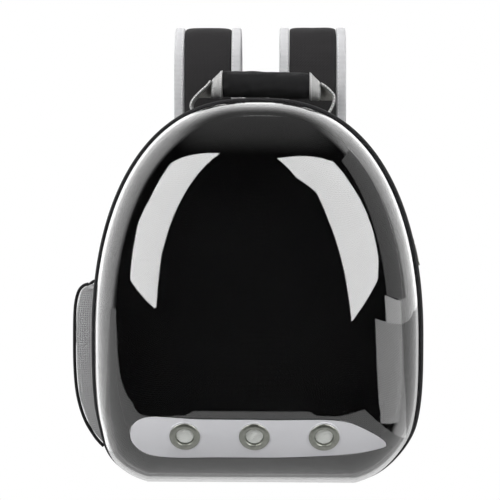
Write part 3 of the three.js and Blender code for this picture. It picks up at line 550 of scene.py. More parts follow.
def cloth_place(tree, uv):
    """The place on the cloth: its own UV, or the piece's X and Z."""
    if uv:
        return add(tree, "TexCoord").outputs["UV"]
    place = add(tree, "TexCoord").outputs["Object"]
    turned = add(tree, "Mapping", {"Rotation": (math.pi / 2, 0, 0)}, {"Vector": place})
    return turned.outputs["Vector"]


def woven(name, colour, pitch, relief=0.35, contrast=0.4, roughness=0.8, sheen=0.05, uv=True):
    """Plain-woven polyester: warp and weft pass over each other in turn. Its colour has uneven dye
    and painted shade: darker in the valleys between the yarns, lighter on their tops.
    """
    material, tree, shader = finish_of(
        name,
        Roughness=roughness,
        Sheen_Weight=sheen,
        Sheen_Roughness=0.5,
        IOR=1.5,
        Specular_IOR_Level=0.2,
    )
    place = cloth_place(tree, uv)
    bands = math.pi / (10 * pitch)
    over = add(tree, "TexChecker", {"Scale": 1 / pitch}, {"Vector": place})
    warp = add(tree, "TexWave", {"bands_direction": "X", "Scale": bands}, {"Vector": place})
    weft = add(tree, "TexWave", {"bands_direction": "Y", "Scale": bands}, {"Vector": place})
    yarn = add(
        tree,
        "Mix",
        {"data_type": "FLOAT"},
        {0: over.outputs["Fac"], 2: warp.outputs["Fac"], 3: weft.outputs["Fac"]},
    )
    cloud = add(tree, "TexNoise", {"Scale": 22, "Detail": 3}, {"Vector": place})
    depth = add(
        tree,
        "Math",
        {"operation": "MULTIPLY_ADD", 1: 0.35},
        {0: cloud.outputs["Fac"], 2: yarn.outputs[0]},
    )
    # The colour follows the yarn: painted shade in the valleys between yarns and painted highlight
    # on their tops, mixed with uneven dye from the noise.
    colour_mix = add(
        tree,
        "Mix",
        {
            "data_type": "RGBA",
            6: shade_of(colour, 1 - contrast),
            7: shade_of(colour, 1 + contrast),
        },
        {0: depth.outputs[0]},
    )
    tree.links.new(colour_mix.outputs[2], shader.inputs["Base Color"])
    bump = add(
        tree, "Bump", {"Strength": relief, "Distance": pitch * 0.4}, {"Height": yarn.outputs[0]}
    )
    tree.links.new(bump.outputs["Normal"], shader.inputs["Normal"])
    return material


def ribbed(name, colour, pitch, across=False, relief=0.5, roughness=0.6, sheen=0.05):
    """Ribbed ribbon or webbing: closely packed ribs with a soft sheen, their tops painted lighter
    as painted highlight and their grooves darker as painted shade.
    """
    material, tree, shader = finish_of(
        name,
        Roughness=roughness,
        Sheen_Weight=sheen,
        Sheen_Roughness=0.4,
        IOR=1.5,
        Specular_IOR_Level=0.25,
    )
    place = add(tree, "TexCoord").outputs["UV"]
    ribs = add(
        tree,
        "TexWave",
        {"bands_direction": "Y" if across else "X", "Scale": math.pi / (10 * pitch)},
        {"Vector": place},
    )
    fleck = add(tree, "TexNoise", {"Scale": 240, "Detail": 2}, {"Vector": place})
    mixed = add(
        tree,
        "Math",
        {"operation": "MULTIPLY_ADD", 1: 0.5},
        {0: fleck.outputs["Fac"], 2: ribs.outputs["Fac"]},
    )
    # Painted highlight on the rib tops and painted shade in the grooves, mixed with a fine random
    # fleck.
    colour_mix = add(
        tree,
        "Mix",
        {"data_type": "RGBA", 6: shade_of(colour, 0.72), 7: shade_of(colour, 1.12)},
        {0: mixed.outputs[0]},
    )
    tree.links.new(colour_mix.outputs[2], shader.inputs["Base Color"])
    height = {"Height": ribs.outputs["Fac"]}
    bump = add(tree, "Bump", {"Strength": relief, "Distance": pitch * 0.3}, height)
    tree.links.new(bump.outputs["Normal"], shader.inputs["Normal"])
    return material


def netted(name, colour, hole, pitch, uv=True):
    """Knitted mesh: rows of small holes between raised yarn, the holes painted dark as painted
    shade behind the knit.
    """
    material, tree, shader = finish_of(
        name, Roughness=0.85, Sheen_Weight=0.3, Sheen_Roughness=0.5, IOR=1.5
    )
    place = cloth_place(tree, uv)
    holes = add(
        tree,
        "TexVoronoi",
        {"voronoi_dimensions": "2D", "Scale": 1 / pitch, "Randomness": 0.15},
        {"Vector": place},
    )
    yarn = add(tree, "ValToRGB", {}, {"Fac": holes.outputs["Distance"]})
    yarn.color_ramp.elements[0].position = 0.16
    yarn.color_ramp.elements[1].position = 0.34
    cloud = add(tree, "TexNoise", {"Scale": 35, "Detail": 3}, {"Vector": place})
    shade = add(
        tree,
        "Mix",
        {"data_type": "RGBA", 6: shade_of(colour, 0.85), 7: shade_of(colour, 1.12)},
        {0: cloud.outputs["Fac"]},
    )
    # The holes get a dark colour: painted shade behind the knit. The noise on the yarn is random
    # tone.
    colour_mix = add(
        tree,
        "Mix",
        {"data_type": "RGBA", 6: shade_of(colour, hole)},
        {0: yarn.outputs["Color"], 7: shade.outputs[2]},
    )
    tree.links.new(colour_mix.outputs[2], shader.inputs["Base Color"])
    bump = add(
        tree, "Bump", {"Strength": 0.6, "Distance": 0.5 * MM}, {"Height": yarn.outputs["Color"]}
    )
    tree.links.new(bump.outputs["Normal"], shader.inputs["Normal"])
    return material


def moulded(name, colour, roughness, ior=1.5, grain=0.08, coat=0.0):
    """Moulded plastic: even colour with slow waves in the gloss and a faint grain."""
    material, tree, shader = finish_of(name, Roughness=roughness, IOR=ior, Coat_Weight=coat)
    place = add(tree, "TexCoord").outputs["Object"]
    cloud = add(tree, "TexNoise", {"Scale": 18, "Detail": 4}, {"Vector": place})
    colour_mix = add(
        tree,
        "Mix",
        {"data_type": "RGBA", 6: shade_of(colour, 0.94), 7: shade_of(colour, 1.05)},
        {0: cloud.outputs["Fac"]},
    )
    tree.links.new(colour_mix.outputs[2], shader.inputs["Base Color"])
    gloss = add(
        tree,
        "MapRange",
        {"To Min": roughness * 0.8, "To Max": roughness * 1.25},
        {"Value": cloud.outputs["Fac"]},
    )
    tree.links.new(gloss.outputs["Result"], shader.inputs["Roughness"])
    skin_grain = add(tree, "TexNoise", {"Scale": 900, "Detail": 2}, {"Vector": place})
    bump = add(
        tree, "Bump", {"Strength": grain, "Distance": 0.1 * MM}, {"Height": skin_grain.outputs[0]}
    )
    tree.links.new(bump.outputs["Normal"], shader.inputs["Normal"])
    return material


def make_materials():
    colours = settings_of("colours")
    made = {}
    # Polyester cloth, woven and coated: dull black with a fine basket of yarn. The real yarns are
    # 0.5 mm apart; they are drawn at 1.6 mm, or the picture would lose them.
    made["tub"] = woven("Polyester cloth, woven", colours.tub, 1.6 * MM)
    # The same cloth over foam, a little lighter and with less contrast in its weave.
    made["strap"] = woven("Polyester cloth, padded", colours.strap, 1.5 * MM, contrast=0.3)
    # The grip's cloth, woven finer and dyed deeper: almost black, with only a faint grain.
    made["grip"] = woven("Polyester cloth, fine", linear("#111112"), 1.3 * MM, contrast=0.3)
    made["pad"] = netted("Spacer mesh, knitted", colours.tub, 0.25, 3.0 * MM, uv=False)
    # Nylon lining, coated: black, and drawn darker than black nylon as painted shade inside the
    # tub.
    made["lining"] = woven("Nylon lining, coated, painted shade", linear("#070707"), 1.6 * MM, sheen=0.0)
    # Grosgrain ribbon, woven: cross ribs, a soft sheen and painted highlight on the rib tops; ribs
    # of 0.6 mm drawn at 1.3 mm.
    made["binding"] = ribbed("Grosgrain ribbon, black", colours.binding, 1.3 * MM)
    made["trim"] = ribbed("Grosgrain ribbon, grey", colours.trim, 1.4 * MM, True, 0.3, 0.75)
    made["hem"] = ribbed("Elastic tape, woven", linear("#b8b8b9"), 1.2 * MM, True, 0.4, 0.8)
    # Nylon webbing, woven flat: strong ribs across its width at their real 1.5 mm.
    made["webbing"] = ribbed("Nylon webbing, woven", colours.binding, 1.5 * MM, True, 0.7, 0.55)
    made["thread"] = moulded("Polyester thread, black", linear("#29292c"), 0.6)
    made["pale_thread"] = moulded("Polyester thread, grey", linear("#e2e2e2"), 0.6)
    # Polyester coil, extruded: slightly glossy black plastic.
    made["coil"] = moulded("Polyester zip coil", linear("#17171a"), 0.35)
    made["pocket"] = netted("Pocket mesh, knitted", colours.pocket, 0.45, 2.4 * MM)
    made["cuffs"] = leather("Synthetic leather, coated", colours.cuffs)
    # The handle's leather again, drawn darker: painted shade in the bend beside the cuff.
    made["web"] = leather("Synthetic leather, painted shade", linear("#8a8985"))
    # Polyamide, injection moulded: dark satin plastic with a faint grain.
    made["lock"] = moulded("Polyamide, moulded", linear("#18181b"), 0.42, 1.53, 0.2)
    # ABS, injection moulded: pale, nearly flat satin.
    made["strip"] = moulded("ABS, moulded", colours.strip, 0.3, 1.54, 0.03, 0.3)
    made["screen"] = moulded("Polyamide mesh, pale", linear("#d4d6d2"), 0.6, 1.53, 0.2)
    made["clear"] = clear_plastic()
    made["steel"] = plated_steel()
    return made


def leather(name, colour):
    """Synthetic leather, coated and embossed: fine pebbles, with painted shade darkening the
    valleys between them.
    """
    material, tree, shader = finish_of(name, Roughness=0.55, IOR=1.5, Coat_Weight=0.1)
    place = add(tree, "TexCoord").outputs["Object"]
    # The real pebble is about 0.8 mm across; it is drawn at 1.5 mm so that it shows.
    pebbles = add(tree, "TexVoronoi", {"Scale": 1 / (1.5 * MM)}, {"Vector": place})
    cloud = add(tree, "TexNoise", {"Scale": 60, "Detail": 4}, {"Vector": place})
    # Painted shade: darker towards the pebbles' edges, in the valleys; lighter on their tops.
    colour_mix = add(
        tree,
        "Mix",
        {"data_type": "RGBA", 6: shade_of(colour, 1.1), 7: shade_of(colour, 0.8)},
        {0: pebbles.outputs["Distance"]},
    )
    tree.links.new(colour_mix.outputs[2], shader.inputs["Base Color"])
    gloss = add(tree, "MapRange", {"To Min": 0.45, "To Max": 0.7}, {"Value": cloud.outputs["Fac"]})
    tree.links.new(gloss.outputs["Result"], shader.inputs["Roughness"])
    bump = add(
        tree,
        "Bump",
        {"Strength": 0.35, "Distance": 0.2 * MM, "invert": True},
        {"Height": pebbles.outputs["Distance"]},
    )
    tree.links.new(bump.outputs["Normal"], shader.inputs["Normal"])
    return material


def clear_plastic():
    """Polycarbonate, blown into a dome: clear and glossy, with faint waves in its gloss."""
    material, tree, shader = finish_of(
        "Polycarbonate, blown clear",
        Base_Color=(1, 1, 1, 1),
        Transmission_Weight=1.0,
        IOR=1.58,
        Roughness=0.015,
    )
    place = add(tree, "TexCoord").outputs["Object"]
    wave = add(tree, "TexNoise", {"Scale": 9, "Detail": 1}, {"Vector": place})
    bump = add(tree, "Bump", {"Strength": 0.05, "Distance": 1 * MM}, {"Height": wave.outputs[0]})
    tree.links.new(bump.outputs["Normal"], shader.inputs["Normal"])
    return material


def plated_steel():
    """Steel eyelets, stamped and nickel plated, then handled: mottled grey with bright edges."""
    material, tree, shader = finish_of("Nickel-plated steel, stamped", Metallic=1.0)
    place = add(tree, "TexCoord").outputs["Object"]
    cloud = add(tree, "TexNoise", {"Scale": 260, "Detail": 5}, {"Vector": place})
    colour_mix = add(
        tree,
        "Mix",
        {"data_type": "RGBA", 6: linear("#6f716b"), 7: linear("#a3a59d")},
        {0: cloud.outputs["Fac"]},
    )
    tree.links.new(colour_mix.outputs[2], shader.inputs["Base Color"])
    gloss = add(tree, "MapRange", {"To Min": 0.22, "To Max": 0.5}, {"Value": cloud.outputs["Fac"]})
    tree.links.new(gloss.outputs["Result"], shader.inputs["Roughness"])
    scratch = add(tree, "TexNoise", {"Scale": 500, "Detail": 2}, {"Vector": place})
    bump = add(
        tree, "Bump", {"Strength": 0.12, "Distance": 0.1 * MM}, {"Height": scratch.outputs[0]}
    )
    tree.links.new(bump.outputs["Normal"], shader.inputs["Normal"])
    return material


finishes = {}


# The stage


class CARRIER_OT_stage(bpy.types.Operator):
    """Camera, lights, the softboxes and floor that the dome mirrors, and a white room"""

    bl_idname = "carrier.add_stage"
    bl_label = "Stage"

    def execute(self, context):
        scene = context.scene
        scene.view_settings.view_transform = "Standard"
        camera_at = Vector((0.040, -1.568, 0.290))
        target = Vector((-0.007, -0.068, 0.238))
        bpy.ops.object.camera_add(location=camera_at)
        camera = context.object
        camera.rotation_euler = (target - camera_at).to_track_quat("-Z", "Y").to_euler()
        camera.data.lens = 106.1
        camera.data.clip_start = 0.05
        scene.camera = camera
        self.add_room(scene)
        self.add_light("light_left", (-1.7, -1.9, 1.2), 1.2, 66)
        self.add_light("light_right", (1.7, -1.9, 1.2), 1.2, 66)
        self.add_light("light_top", (0, -0.5, 2.4), 1.4, 32)
        self.add_floor()
        self.add_cards()
        return {"FINISHED"}

    def add_light(self, name, place, size, watts):
        """A soft light that only brightens surfaces; the cards are what the dome mirrors."""
        bpy.ops.object.light_add(type="AREA", location=place)
        light = named(bpy.context.object, name)
        aim = Vector((0, -0.05, 0.22)) - light.location
        light.rotation_euler = aim.to_track_quat("-Z", "Y").to_euler()
        light.data.size = size
        light.data.energy = watts
        light.visible_camera = False
        light.visible_glossy = False
        light.visible_transmission = False

    def add_floor(self):
        """White paper. It runs out into white in the picture, so it only lights the object."""
        paper, tree, shader = finish_of("Background paper", Roughness=0.9)
        place = add(tree, "TexCoord").outputs["Object"]
        tone = add(tree, "TexNoise", {"Scale": 3}, {"Vector": place})
        white = add(
            tree,
            "Mix",
            {"data_type": "RGBA", 6: linear("#dedede"), 7: linear("#e4e4e4")},
            {0: tone.outputs["Fac"]},
        )
        tree.links.new(white.outputs[2], shader.inputs["Base Color"])
        only()
        bpy.ops.mesh.primitive_plane_add(size=1, location=(0, 0.6, -0.0005))
        floor = named(bpy.context.object, "floor")
        floor.scale = (6, 3.2, 1)
        settle(floor)
        floor.data.materials.append(paper)
        floor.visible_camera = False
        floor.visible_glossy = False
        floor.visible_transmission = False

    def add_cards(self):
        """Two tall softboxes before the object and a low pale wall far to the right.

        A corner is its place sideways along the card and its height, in millimetres.
        """
        left = [
            (1394, 3510), (-649, 2369), (-700, 1323), (-880, 996), (-647, 374), (363, 111),
            (428, 108), (397, 550), (473, 910), (587, 1289), (864, 2089),
        ]
        right = [
            (-2390, 3831), (246, 2465), (443, 1745), (591, 1323), (687, 922), (628, 579),
            (414, 374), (-590, 14), (-665, 334), (-755, 659), (-886, 1041), (-1055, 1586),
            (-1682, 2263),
        ]
        wall = [(-1090, 0), (350, 0), (350, 210), (-1090, 270)]
        side = [(-900, 262), (1150, 215), (1150, 3300), (-900, 3300)]
        self.add_card("softbox_left", (-1.802, -1.382), -55, left, 6.5)
        self.add_card("softbox_right", (1.802, -1.382), 55, right, 6.5)
        self.add_card("wall_right", (3.0, 0.0), 90, wall, 2.4)
        self.add_card("side_right", (3.02, 0.0), 90, side, 0.5)
        self.add_sheets()

    def add_sheets(self):
        """The lit parts of the floor, as the dome mirrors them; corners in millimetres."""
        front = [(-9000, -273), (220, -273), (220, 0), (-200, 0), (-9000, 1450)]
        right = [(220, -190), (3000, -1900), (3000, 350), (300, -100)]
        back = [(-200, 0), (300, 0), (3000, 350), (3000, 3000), (-200, 3000)]
        left = [(-200, -100), (-200, 3000), (-9000, 3000), (-9000, 1450)]
        sheets = [
            ("floor_front", 0.72, front),
            ("floor_right", 1.7, right),
            ("floor_back", 0.6, back),
            ("floor_left", 1.25, left),
        ]
        for name, strength, corners in sheets:
            places = [(x * MM, y * MM, 1 * MM) for x, y in corners]
            self.add_glow(name, places, strength)

    def add_card(self, name, middle, turn, corners, strength):
        turn = math.radians(turn)
        ahead = (math.cos(turn) * MM, math.sin(turn) * MM)
        places = [
            (middle[0] + along * ahead[0], middle[1] + along * ahead[1], height * MM)
            for along, height in corners
        ]
        self.add_glow(name, places, strength)

    def add_glow(self, name, places, strength):
        only()
        bpy.ops.mesh.primitive_circle_add(vertices=len(places), radius=1, fill_type="NGON")
        card = named(bpy.context.object, name)
        for vertex, place in zip(card.data.vertices, places):
            vertex.co = place
        material = bpy.data.materials.new("Softbox cloth, lit")
        material.use_nodes = True
        tree = material.node_tree
        tree.nodes.clear()
        glow = add(tree, "Emission", {"Color": (1, 1, 1, 1), "Strength": strength})
        add(tree, "OutputMaterial", {}, {"Surface": glow.outputs[0]})
        card.data.materials.append(material)
        card.visible_camera = False
        card.visible_diffuse = False

    def add_room(self, scene):
        """White beyond the object, dark before it and overhead, bright behind and beside it."""
        world = bpy.data.worlds.new("Studio")
        scene.world = world
        world.use_nodes = True
        tree = world.node_tree
        tree.nodes.clear()
        way = add(tree, "TexCoord").outputs["Generated"]
        split = add(tree, "SeparateXYZ", {}, {0: way})
        behind = add(
            tree,
            "MapRange",
            {"interpolation_type": "SMOOTHSTEP", "From Min": 0.0, "From Max": 0.2, "To Max": 1.6},
            {"Value": split.outputs["Y"]},
        )
        fade = add(
            tree,
            "MapRange",
            {
                "interpolation_type": "SMOOTHSTEP",
                "From Min": 0.66,
                "From Max": 0.96,
                "To Min": 1.0,
                "To Max": 0.09,
            },
            {"Value": split.outputs["Z"]},
        )
        lit = add(
            tree,
            "Math",
            {"operation": "MULTIPLY"},
            {0: behind.outputs["Result"], 1: fade.outputs["Result"]},
        )
        overhead = add(
            tree,
            "MapRange",
            {
                "interpolation_type": "SMOOTHSTEP",
                "From Min": 0.75,
                "From Max": 0.98,
                "To Min": 0.01,
                "To Max": 0.3,
            },
            {"Value": split.outputs["Z"]},
        )
        most = add(
            tree,
            "Math",
            {"operation": "MAXIMUM"},
            {0: lit.outputs[0], 1: overhead.outputs["Result"]},
        )
        room = add(tree, "Background", {}, {"Strength": most.outputs[0]})
        paper = add(tree, "Background", {"Color": (1, 1, 1, 1), "Strength": 1.0})
        seen = add(tree, "LightPath").outputs["Is Camera Ray"]
        both = add(tree, "MixShader", {}, {0: seen, 1: room.outputs[0], 2: paper.outputs[0]})
        add(tree, "OutputWorld", {}, {"Surface": both.outputs[0]})


# The tub


def wall_inset(share):
    """How far the tub's wall has drawn in, at a share of the way from front to back."""
    return (1.5 + 2.5 * share) * MM


class CARRIER_OT_gusset(bpy.types.Operator):
    """The side wall of the tub, with puckers along its seams and a lapped seam at each corner"""

    bl_idname = "carrier.add_gusset"
    bl_label = "Gusset"

    def execute(self, context):
        tub = settings_of("tub")
        depth = tub.back - tub.front
        rows = []
        places = np.linspace(0, 1, 41)
        girth = np.arange(AROUND) / AROUND * 1.15
        for share in places:
            y = tub.front + depth * share
            inset = wall_inset(share)
            edge = min(share, 1 - share) * depth
            free = min(edge / (14 * MM), 1)
            pucker = 0.35 * MM * math.exp(-((edge - 3 * MM) ** 2) / (3 * MM) ** 2)
            wave = uneven(girth, y, 4, 0.09) * 0.55 * MM * free
            phase = girth * 2 * math.pi / (9 * MM) + uneven(girth, 0, 7, 0.2)
            wave = wave + pucker * np.sin(phase)
            seam = self.seam_relief() * (1 if 0.02 < share < 0.98 else 0)
            rows.append(loop_at(inset - wave - seam, y))
        inner = []
        for share in np.linspace(1, 0, 9):
            y = tub.front + depth * share
            inset = wall_inset(share) + tub.wall
            inner.append(loop_at(inset, y, tub.wall))
        rows = np.array([*rows, *inner, rows[0]])
        wall = skin("gusset_shell", rows)
        smooth(wall, 50)
        dress(wall, finishes["tub"], "tub_cloth", "gusset_band")
        wall.data.materials.append(finishes["lining"])
        self.paint_inside(wall)
        runs = [round_outline(1.6 * MM, tub.front + 3.4 * MM), round_outline(4.0 * MM, 46.4 * MM)]
        runs += self.corner_runs()
        stitches("gusset_stitches", runs, finishes["thread"], "tub_cloth")
        return {"FINISHED"}

    def seam_relief(self):
        """A lap, a little proud of the wall, where the base cloth meets the side cloth."""
        points, _ = free_line()
        height = points[:, 1]
        return SEAM_PROUD / (1 + np.exp((height - 58 * MM) / (0.8 * MM)))

    def corner_runs(self):
        tub = settings_of("tub")
        runs = []
        for side in (-1, 1):
            for level in (54.5 * MM, 48.5 * MM):
                point, normal = side_at(level, side)
                y = np.linspace(tub.front + 4 * MM, tub.back - 4 * MM, 20)
                inset = wall_inset((y - tub.front) / (tub.back - tub.front)) - SEAM_PROUD
                x = point[0] - normal[0] * inset
                z = point[1] - normal[1] * inset
                out = np.tile([normal[0], 0, normal[1]], (len(y), 1))
                runs.append((np.stack([x, y, z], axis=1), out))
        return runs

    def paint_inside(self, wall):
        """The faces that look into the tub carry the lining."""
        centre = Vector((0, 0, settings_of("dome").centre_level))
        for face in wall.data.polygons:
            inwards = centre - face.center
            inwards.y = 0
            if face.normal.dot(inwards.normalized()) > 0.3:
                face.material_index = 1


class CARRIER_OT_back(bpy.types.Operator):
    """The back panel, its piping and its two quilted pads"""

    bl_idname = "carrier.add_back"
    bl_label = "Back"

    def execute(self, context):
        tub = settings_of("tub")
        self.add_panel(tub)
        radius = 3 * MM
        rows = []
        for turn in np.linspace(0, 2 * math.pi, 13):
            inwards = radius - radius * math.cos(turn)
            y = tub.panel_front + radius + radius * math.sin(turn)
            rows.append(loop_at(2.5 * MM + inwards, y, inwards))
        piping = skin("back_cord_piping", np.array(rows))
        dress(piping, finishes["binding"], "binding_black", "back_piping")
        for label, side in SIDES:
            self.add_pad(label, side)
        return {"FINISHED"}

    def add_panel(self, tub):
        inset = 8.8 * MM
        floor = 6.3 * MM
        edge = loop_at(inset, 0, floor)
        middle = np.array([0, 0, settings_of("dome").centre_level])
        thickness = tub.panel_back - tub.panel_front
        rows = []
        sizes = [0, 0.15, 0.3, 0.45, 0.6, 0.75, 0.87, 0.94, 0.975, 0.99, 1.0]
        for size in sizes:
            row = middle + (edge - middle) * size
            row[:, 1] = tub.panel_front
            rows.append(row)
        for size in reversed(sizes):
            row = middle + (edge - middle) * size
            fall = max(size - 0.94, 0) / 0.06
            row[:, 1] = tub.panel_back - thickness * 0.5 * fall**2
            rows.append(row)
        panel = skin("back_panel_cloth", np.array(rows))
        dress(panel, finishes["tub"], "tub_cloth", "back_panel")
        panel.data.materials.append(finishes["lining"])
        for face in panel.data.polygons:
            if face.normal.y < -0.5:
                face.material_index = 1

    def add_pad(self, label, side):
        """A pad is blown up as cloth over foam, then sewn down along its channels."""
        front = settings_of("tub").panel_back + GAP
        low = np.array([8 * MM, front, 58 * MM])
        high = np.array([76 * MM, front + 12 * MM, 303 * MM])
        if side < 0:
            low[0], high[0] = -high[0], -low[0]
        size = high - low - np.array([3, 3, 3]) * MM
        pad = block("back_pad_quilted_" + label, (low + high) / 2, size)
        self.round_corners(pad)
        blow_up(pad, 4.5 * MM, 3.5 * MM)
        level = pad.modifiers.new("Soften", "SUBSURF")
        level.levels = level.render_levels = 1
        apply_modifiers(pad)
        self.sew_channels(pad, low, high)
        smooth(pad, 60)
        dress(pad, finishes["pad"], "back_mesh", "back_pad_" + label)

    def round_corners(self, pad):
        edit_all(pad)
        bpy.ops.mesh.select_mode(type="EDGE")
        bpy.ops.mesh.select_all(action="DESELECT")
        bpy.ops.object.mode_set(mode="OBJECT")
        for edge in pad.data.edges:
            a, b = (pad.data.vertices[i].co for i in edge.vertices)
            edge.select = abs(a.y - b.y) > 5 * MM
        bpy.ops.object.mode_set(mode="EDIT")
        bpy.ops.mesh.bevel(offset=21 * MM, segments=8)
        bpy.ops.object.mode_set(mode="OBJECT")
        take_edge_off(pad, 4 * MM, 3, 60)

    def sew_channels(self, pad, low, high):
        count = len(pad.data.vertices)
        co = np.zeros(count * 3)
        pad.data.vertices.foreach_get("co", co)
        co = co.reshape(-1, 3)
        middle = (low + high) / 2
        thickness = high[1] - low[1]
        out = np.clip((co[:, 1] - low[1]) / thickness, 0, 1)
        spacing = (high[2] - low[2]) / 6
        nearest = np.abs((co[:, 2] - low[2] + spacing / 2) % spacing - spacing / 2)
        ends = np.minimum(co[:, 2] - low[2], high[2] - co[:, 2]) > spacing / 2
        groove = np.exp(-((nearest / (2.4 * MM)) ** 2)) * ends
        inside = 1 - np.abs(co[:, 0] - middle[0]) / ((high[0] - low[0]) / 2)
        reach = np.clip(inside / 0.12, 0, 1)
        co[:, 1] -= groove * reach * out * 5.5 * MM
        co[:, 0] = np.clip(co[:, 0], low[0], high[0])
        co[:, 1] = np.clip(co[:, 1], low[1], high[1])
        pad.data.vertices.foreach_set("co", co.reshape(-1))
        pad.data.update()


def remesh(piece, size):
    grain = piece.modifiers.new("Even", "REMESH")
    grain.mode = "VOXEL"
    grain.voxel_size = size
    apply_modifiers(piece)


def blow_up(piece, size, cap):
    """Swells a closed piece as cloth under pressure, no point moving further than the cap."""
    remesh(piece, size)
    rest = np.zeros(len(piece.data.vertices) * 3)
    piece.data.vertices.foreach_get("co", rest)
    cloth = piece.modifiers.new("Cloth", "CLOTH")
    cloth.settings.use_pressure = True
    cloth.settings.uniform_pressure_force = 4
    cloth.settings.effector_weights.gravity = 0
    cloth.point_cache.frame_start = 1
    cloth.point_cache.frame_end = 20
    scene = bpy.context.scene
    for number in range(1, 21):
        scene.frame_set(number)
    shaped = piece.evaluated_get(bpy.context.evaluated_depsgraph_get())
    blown = np.zeros(len(rest))
    shaped.data.vertices.foreach_get("co", blown)
    piece.modifiers.remove(cloth)
    scene.frame_set(1)
    moved = (blown - rest).reshape(-1, 3)
    far = np.linalg.norm(moved, axis=1)[:, None]
    moved = moved * np.minimum(1, cap / np.maximum(far, 1e-9))
    piece.data.vertices.foreach_set("co", rest + moved.reshape(-1))
    piece.data.update()


class CARRIER_OT_zip(bpy.types.Operator):
    """The zip between tub and door: two tapes, a coil and the slider with its pull"""

    bl_idname = "carrier.add_zip"
    bl_label = "Zip"

    def execute(self, context):
        tub = settings_of("tub")
        middle = (tub.zip_front + tub.zip_back) / 2
        half = (tub.zip_back - tub.zip_front) / 2
        section = [
            (-1.0, 0.4), (-0.96, 0.1), (-0.8, 0.0), (-0.3, 0.05), (-0.25, 0.5), (0.25, 0.5),
            (0.3, 0.05), (0.8, 0.0), (0.96, 0.1), (1.0, 0.4), (1.0, 2.7), (0.9, 3.0), (-0.9, 3.0),
            (-1.0, 2.7), (-1.0, 0.4),
        ]
        rows = []
        for across, inwards in section:
            inset = (2.4 + inwards) * MM
            rows.append(loop_at(inset, middle + across * half, (1 + inwards) * MM))
        tape = skin("zip_tapes", np.array(rows))
        smooth(tape, 50)
        dress(tape, finishes["binding"], "zip_tape", "zip_band")
        self.add_coil(middle)
        self.add_slider(tub, middle)
        return {"FINISHED"}

    def add_coil(self, middle):
        """Teeth from both tapes that mesh in turn."""
        line, outs = round_outline(2.5 * MM, middle, 1.0 * MM)
        both = evenly_by(np.concatenate([line, outs], axis=1), 620)
        spots = both[:, :3]
        along = directions(spots)
        out = both[:, 3:] / np.linalg.norm(both[:, 3:], axis=1)[:, None]
        out = out - along * np.sum(out * along, axis=1)[:, None]
        points = []
        faces = []
        shape = [(-0.35, 0), (0.35, 0), (0.28, 0.55), (-0.28, 0.55)]
        for k, (spot, a, o) in enumerate(zip(spots, along, out)):
            side = np.array([0, 1.0, 0]) * (1 if k % 2 else -1)
            first = len(points)
            for reach in (-0.35, 1.75):
                for step, up in shape:
                    points.append(spot + a * step * MM * 1.6 + o * up * MM + side * reach * MM)
            faces += [[first + i for i in face] for face in BOX_FACES]
        dress(from_faces("zip_coil", points, faces, 30), finishes["coil"], "zip_tape")

    def add_slider(self, tub, middle):
        """A domed slider and its hanging pull, in the frame of the tub's side."""
        point, normal = side_at(tub.slider_level, 1)
        down = np.array([normal[1], 0, -normal[0]])
        out = np.array([normal[0], 0, normal[1]])
        base = -2.1 * MM

        def at(along, side, up):
            start = np.array([point[0], middle, point[1]])
            return start + down * along + np.array([0, side, 0]) + out * (base + up)

        rows = []
        for share in np.linspace(0, 1, 9):
            along = (-5.5 + 11 * share) * MM
            half = (3.0 - 0.9 * share**2) * MM
            top = (2.0 + 1.2 * math.sin(math.pi * share)) * MM
            section = rounded(2 * half, top - 0.6 * MM, 16, 3.2)
            rows.append([at(along, a, 0.6 * MM + (top - 0.6 * MM) / 2 + b) for a, b in section])
        body = skin("zip_slider_body", ended(np.array(rows)))
        dress(body, finishes["steel"], "vent_metal", "zip_slider")
        rows = []
        for share in np.linspace(0, 1, 13):
            along = (3.5 + 22 * share) * MM
            half = (1.5 + 1.5 * share**0.6) * MM * (1 if share < 0.95 else 0.8)
            section = rounded(2 * half, 1.3 * MM, 16, 3.4)
            rows.append([at(along, a, 2.65 * MM + b) for a, b in section])
        pull = skin("zip_slider_pull", ended(np.array(rows), 0.3 * MM))
        dress(pull, finishes["steel"], "vent_metal")


# The clear dome and its vents


class CARRIER_OT_rim(bpy.types.Operator):
    """The black binding round the dome's edge, folded over and sewn"""

    bl_idname = "carrier.add_rim"
    bl_label = "Rim binding"

    def execute(self, context):
        tub = settings_of("tub")
        depth = tub.rim_back - tub.rim_front
        rows = []
        for turn in np.linspace(0, math.pi, 17):
            share = (1 - math.cos(turn)) / 2
            y = tub.rim_back - depth * math.sin(turn) ** 0.42
            inset = tuple(w * share for w in RIM_WIDTH)
            rows.append(loop_at(inset, y, inset[2]))
        rows.append(rows[0])
        rim = skin("rim_ribbon", np.array(rows))
        dress(rim, finishes["binding"], "binding_black", "rim_binding")
        inset = tuple(w * 0.72 for w in RIM_WIDTH)
        line = loop_at(inset, tub.rim_front + 0.35 * MM, inset[2])
        line = np.concatenate([line, line[:1]])
        ahead = np.tile([0.0, -1.0, 0.0], (len(line), 1))
        stitches("rim_stitches", [(line, ahead)], finishes["thread"], "binding_black")
        return {"FINISHED"}


def dome_turns(steps):
    """Angles down the dome's side whose points are evenly spaced, from its edge to its apex."""
    turn = np.linspace(0, math.pi / 2, 6001)
    spread = np.cos(turn) ** (2 / DOME_POWERS[0]) * settings_of("tub").width / 2
    forward = np.sin(turn) ** (2 / DOME_POWERS[1]) * settings_of("dome").depth
    travelled = np.hypot(np.diff(spread), np.diff(forward)).cumsum()
    travelled = np.concatenate([[0], travelled])
    return np.interp(np.linspace(0, travelled[-1], steps), travelled, turn)


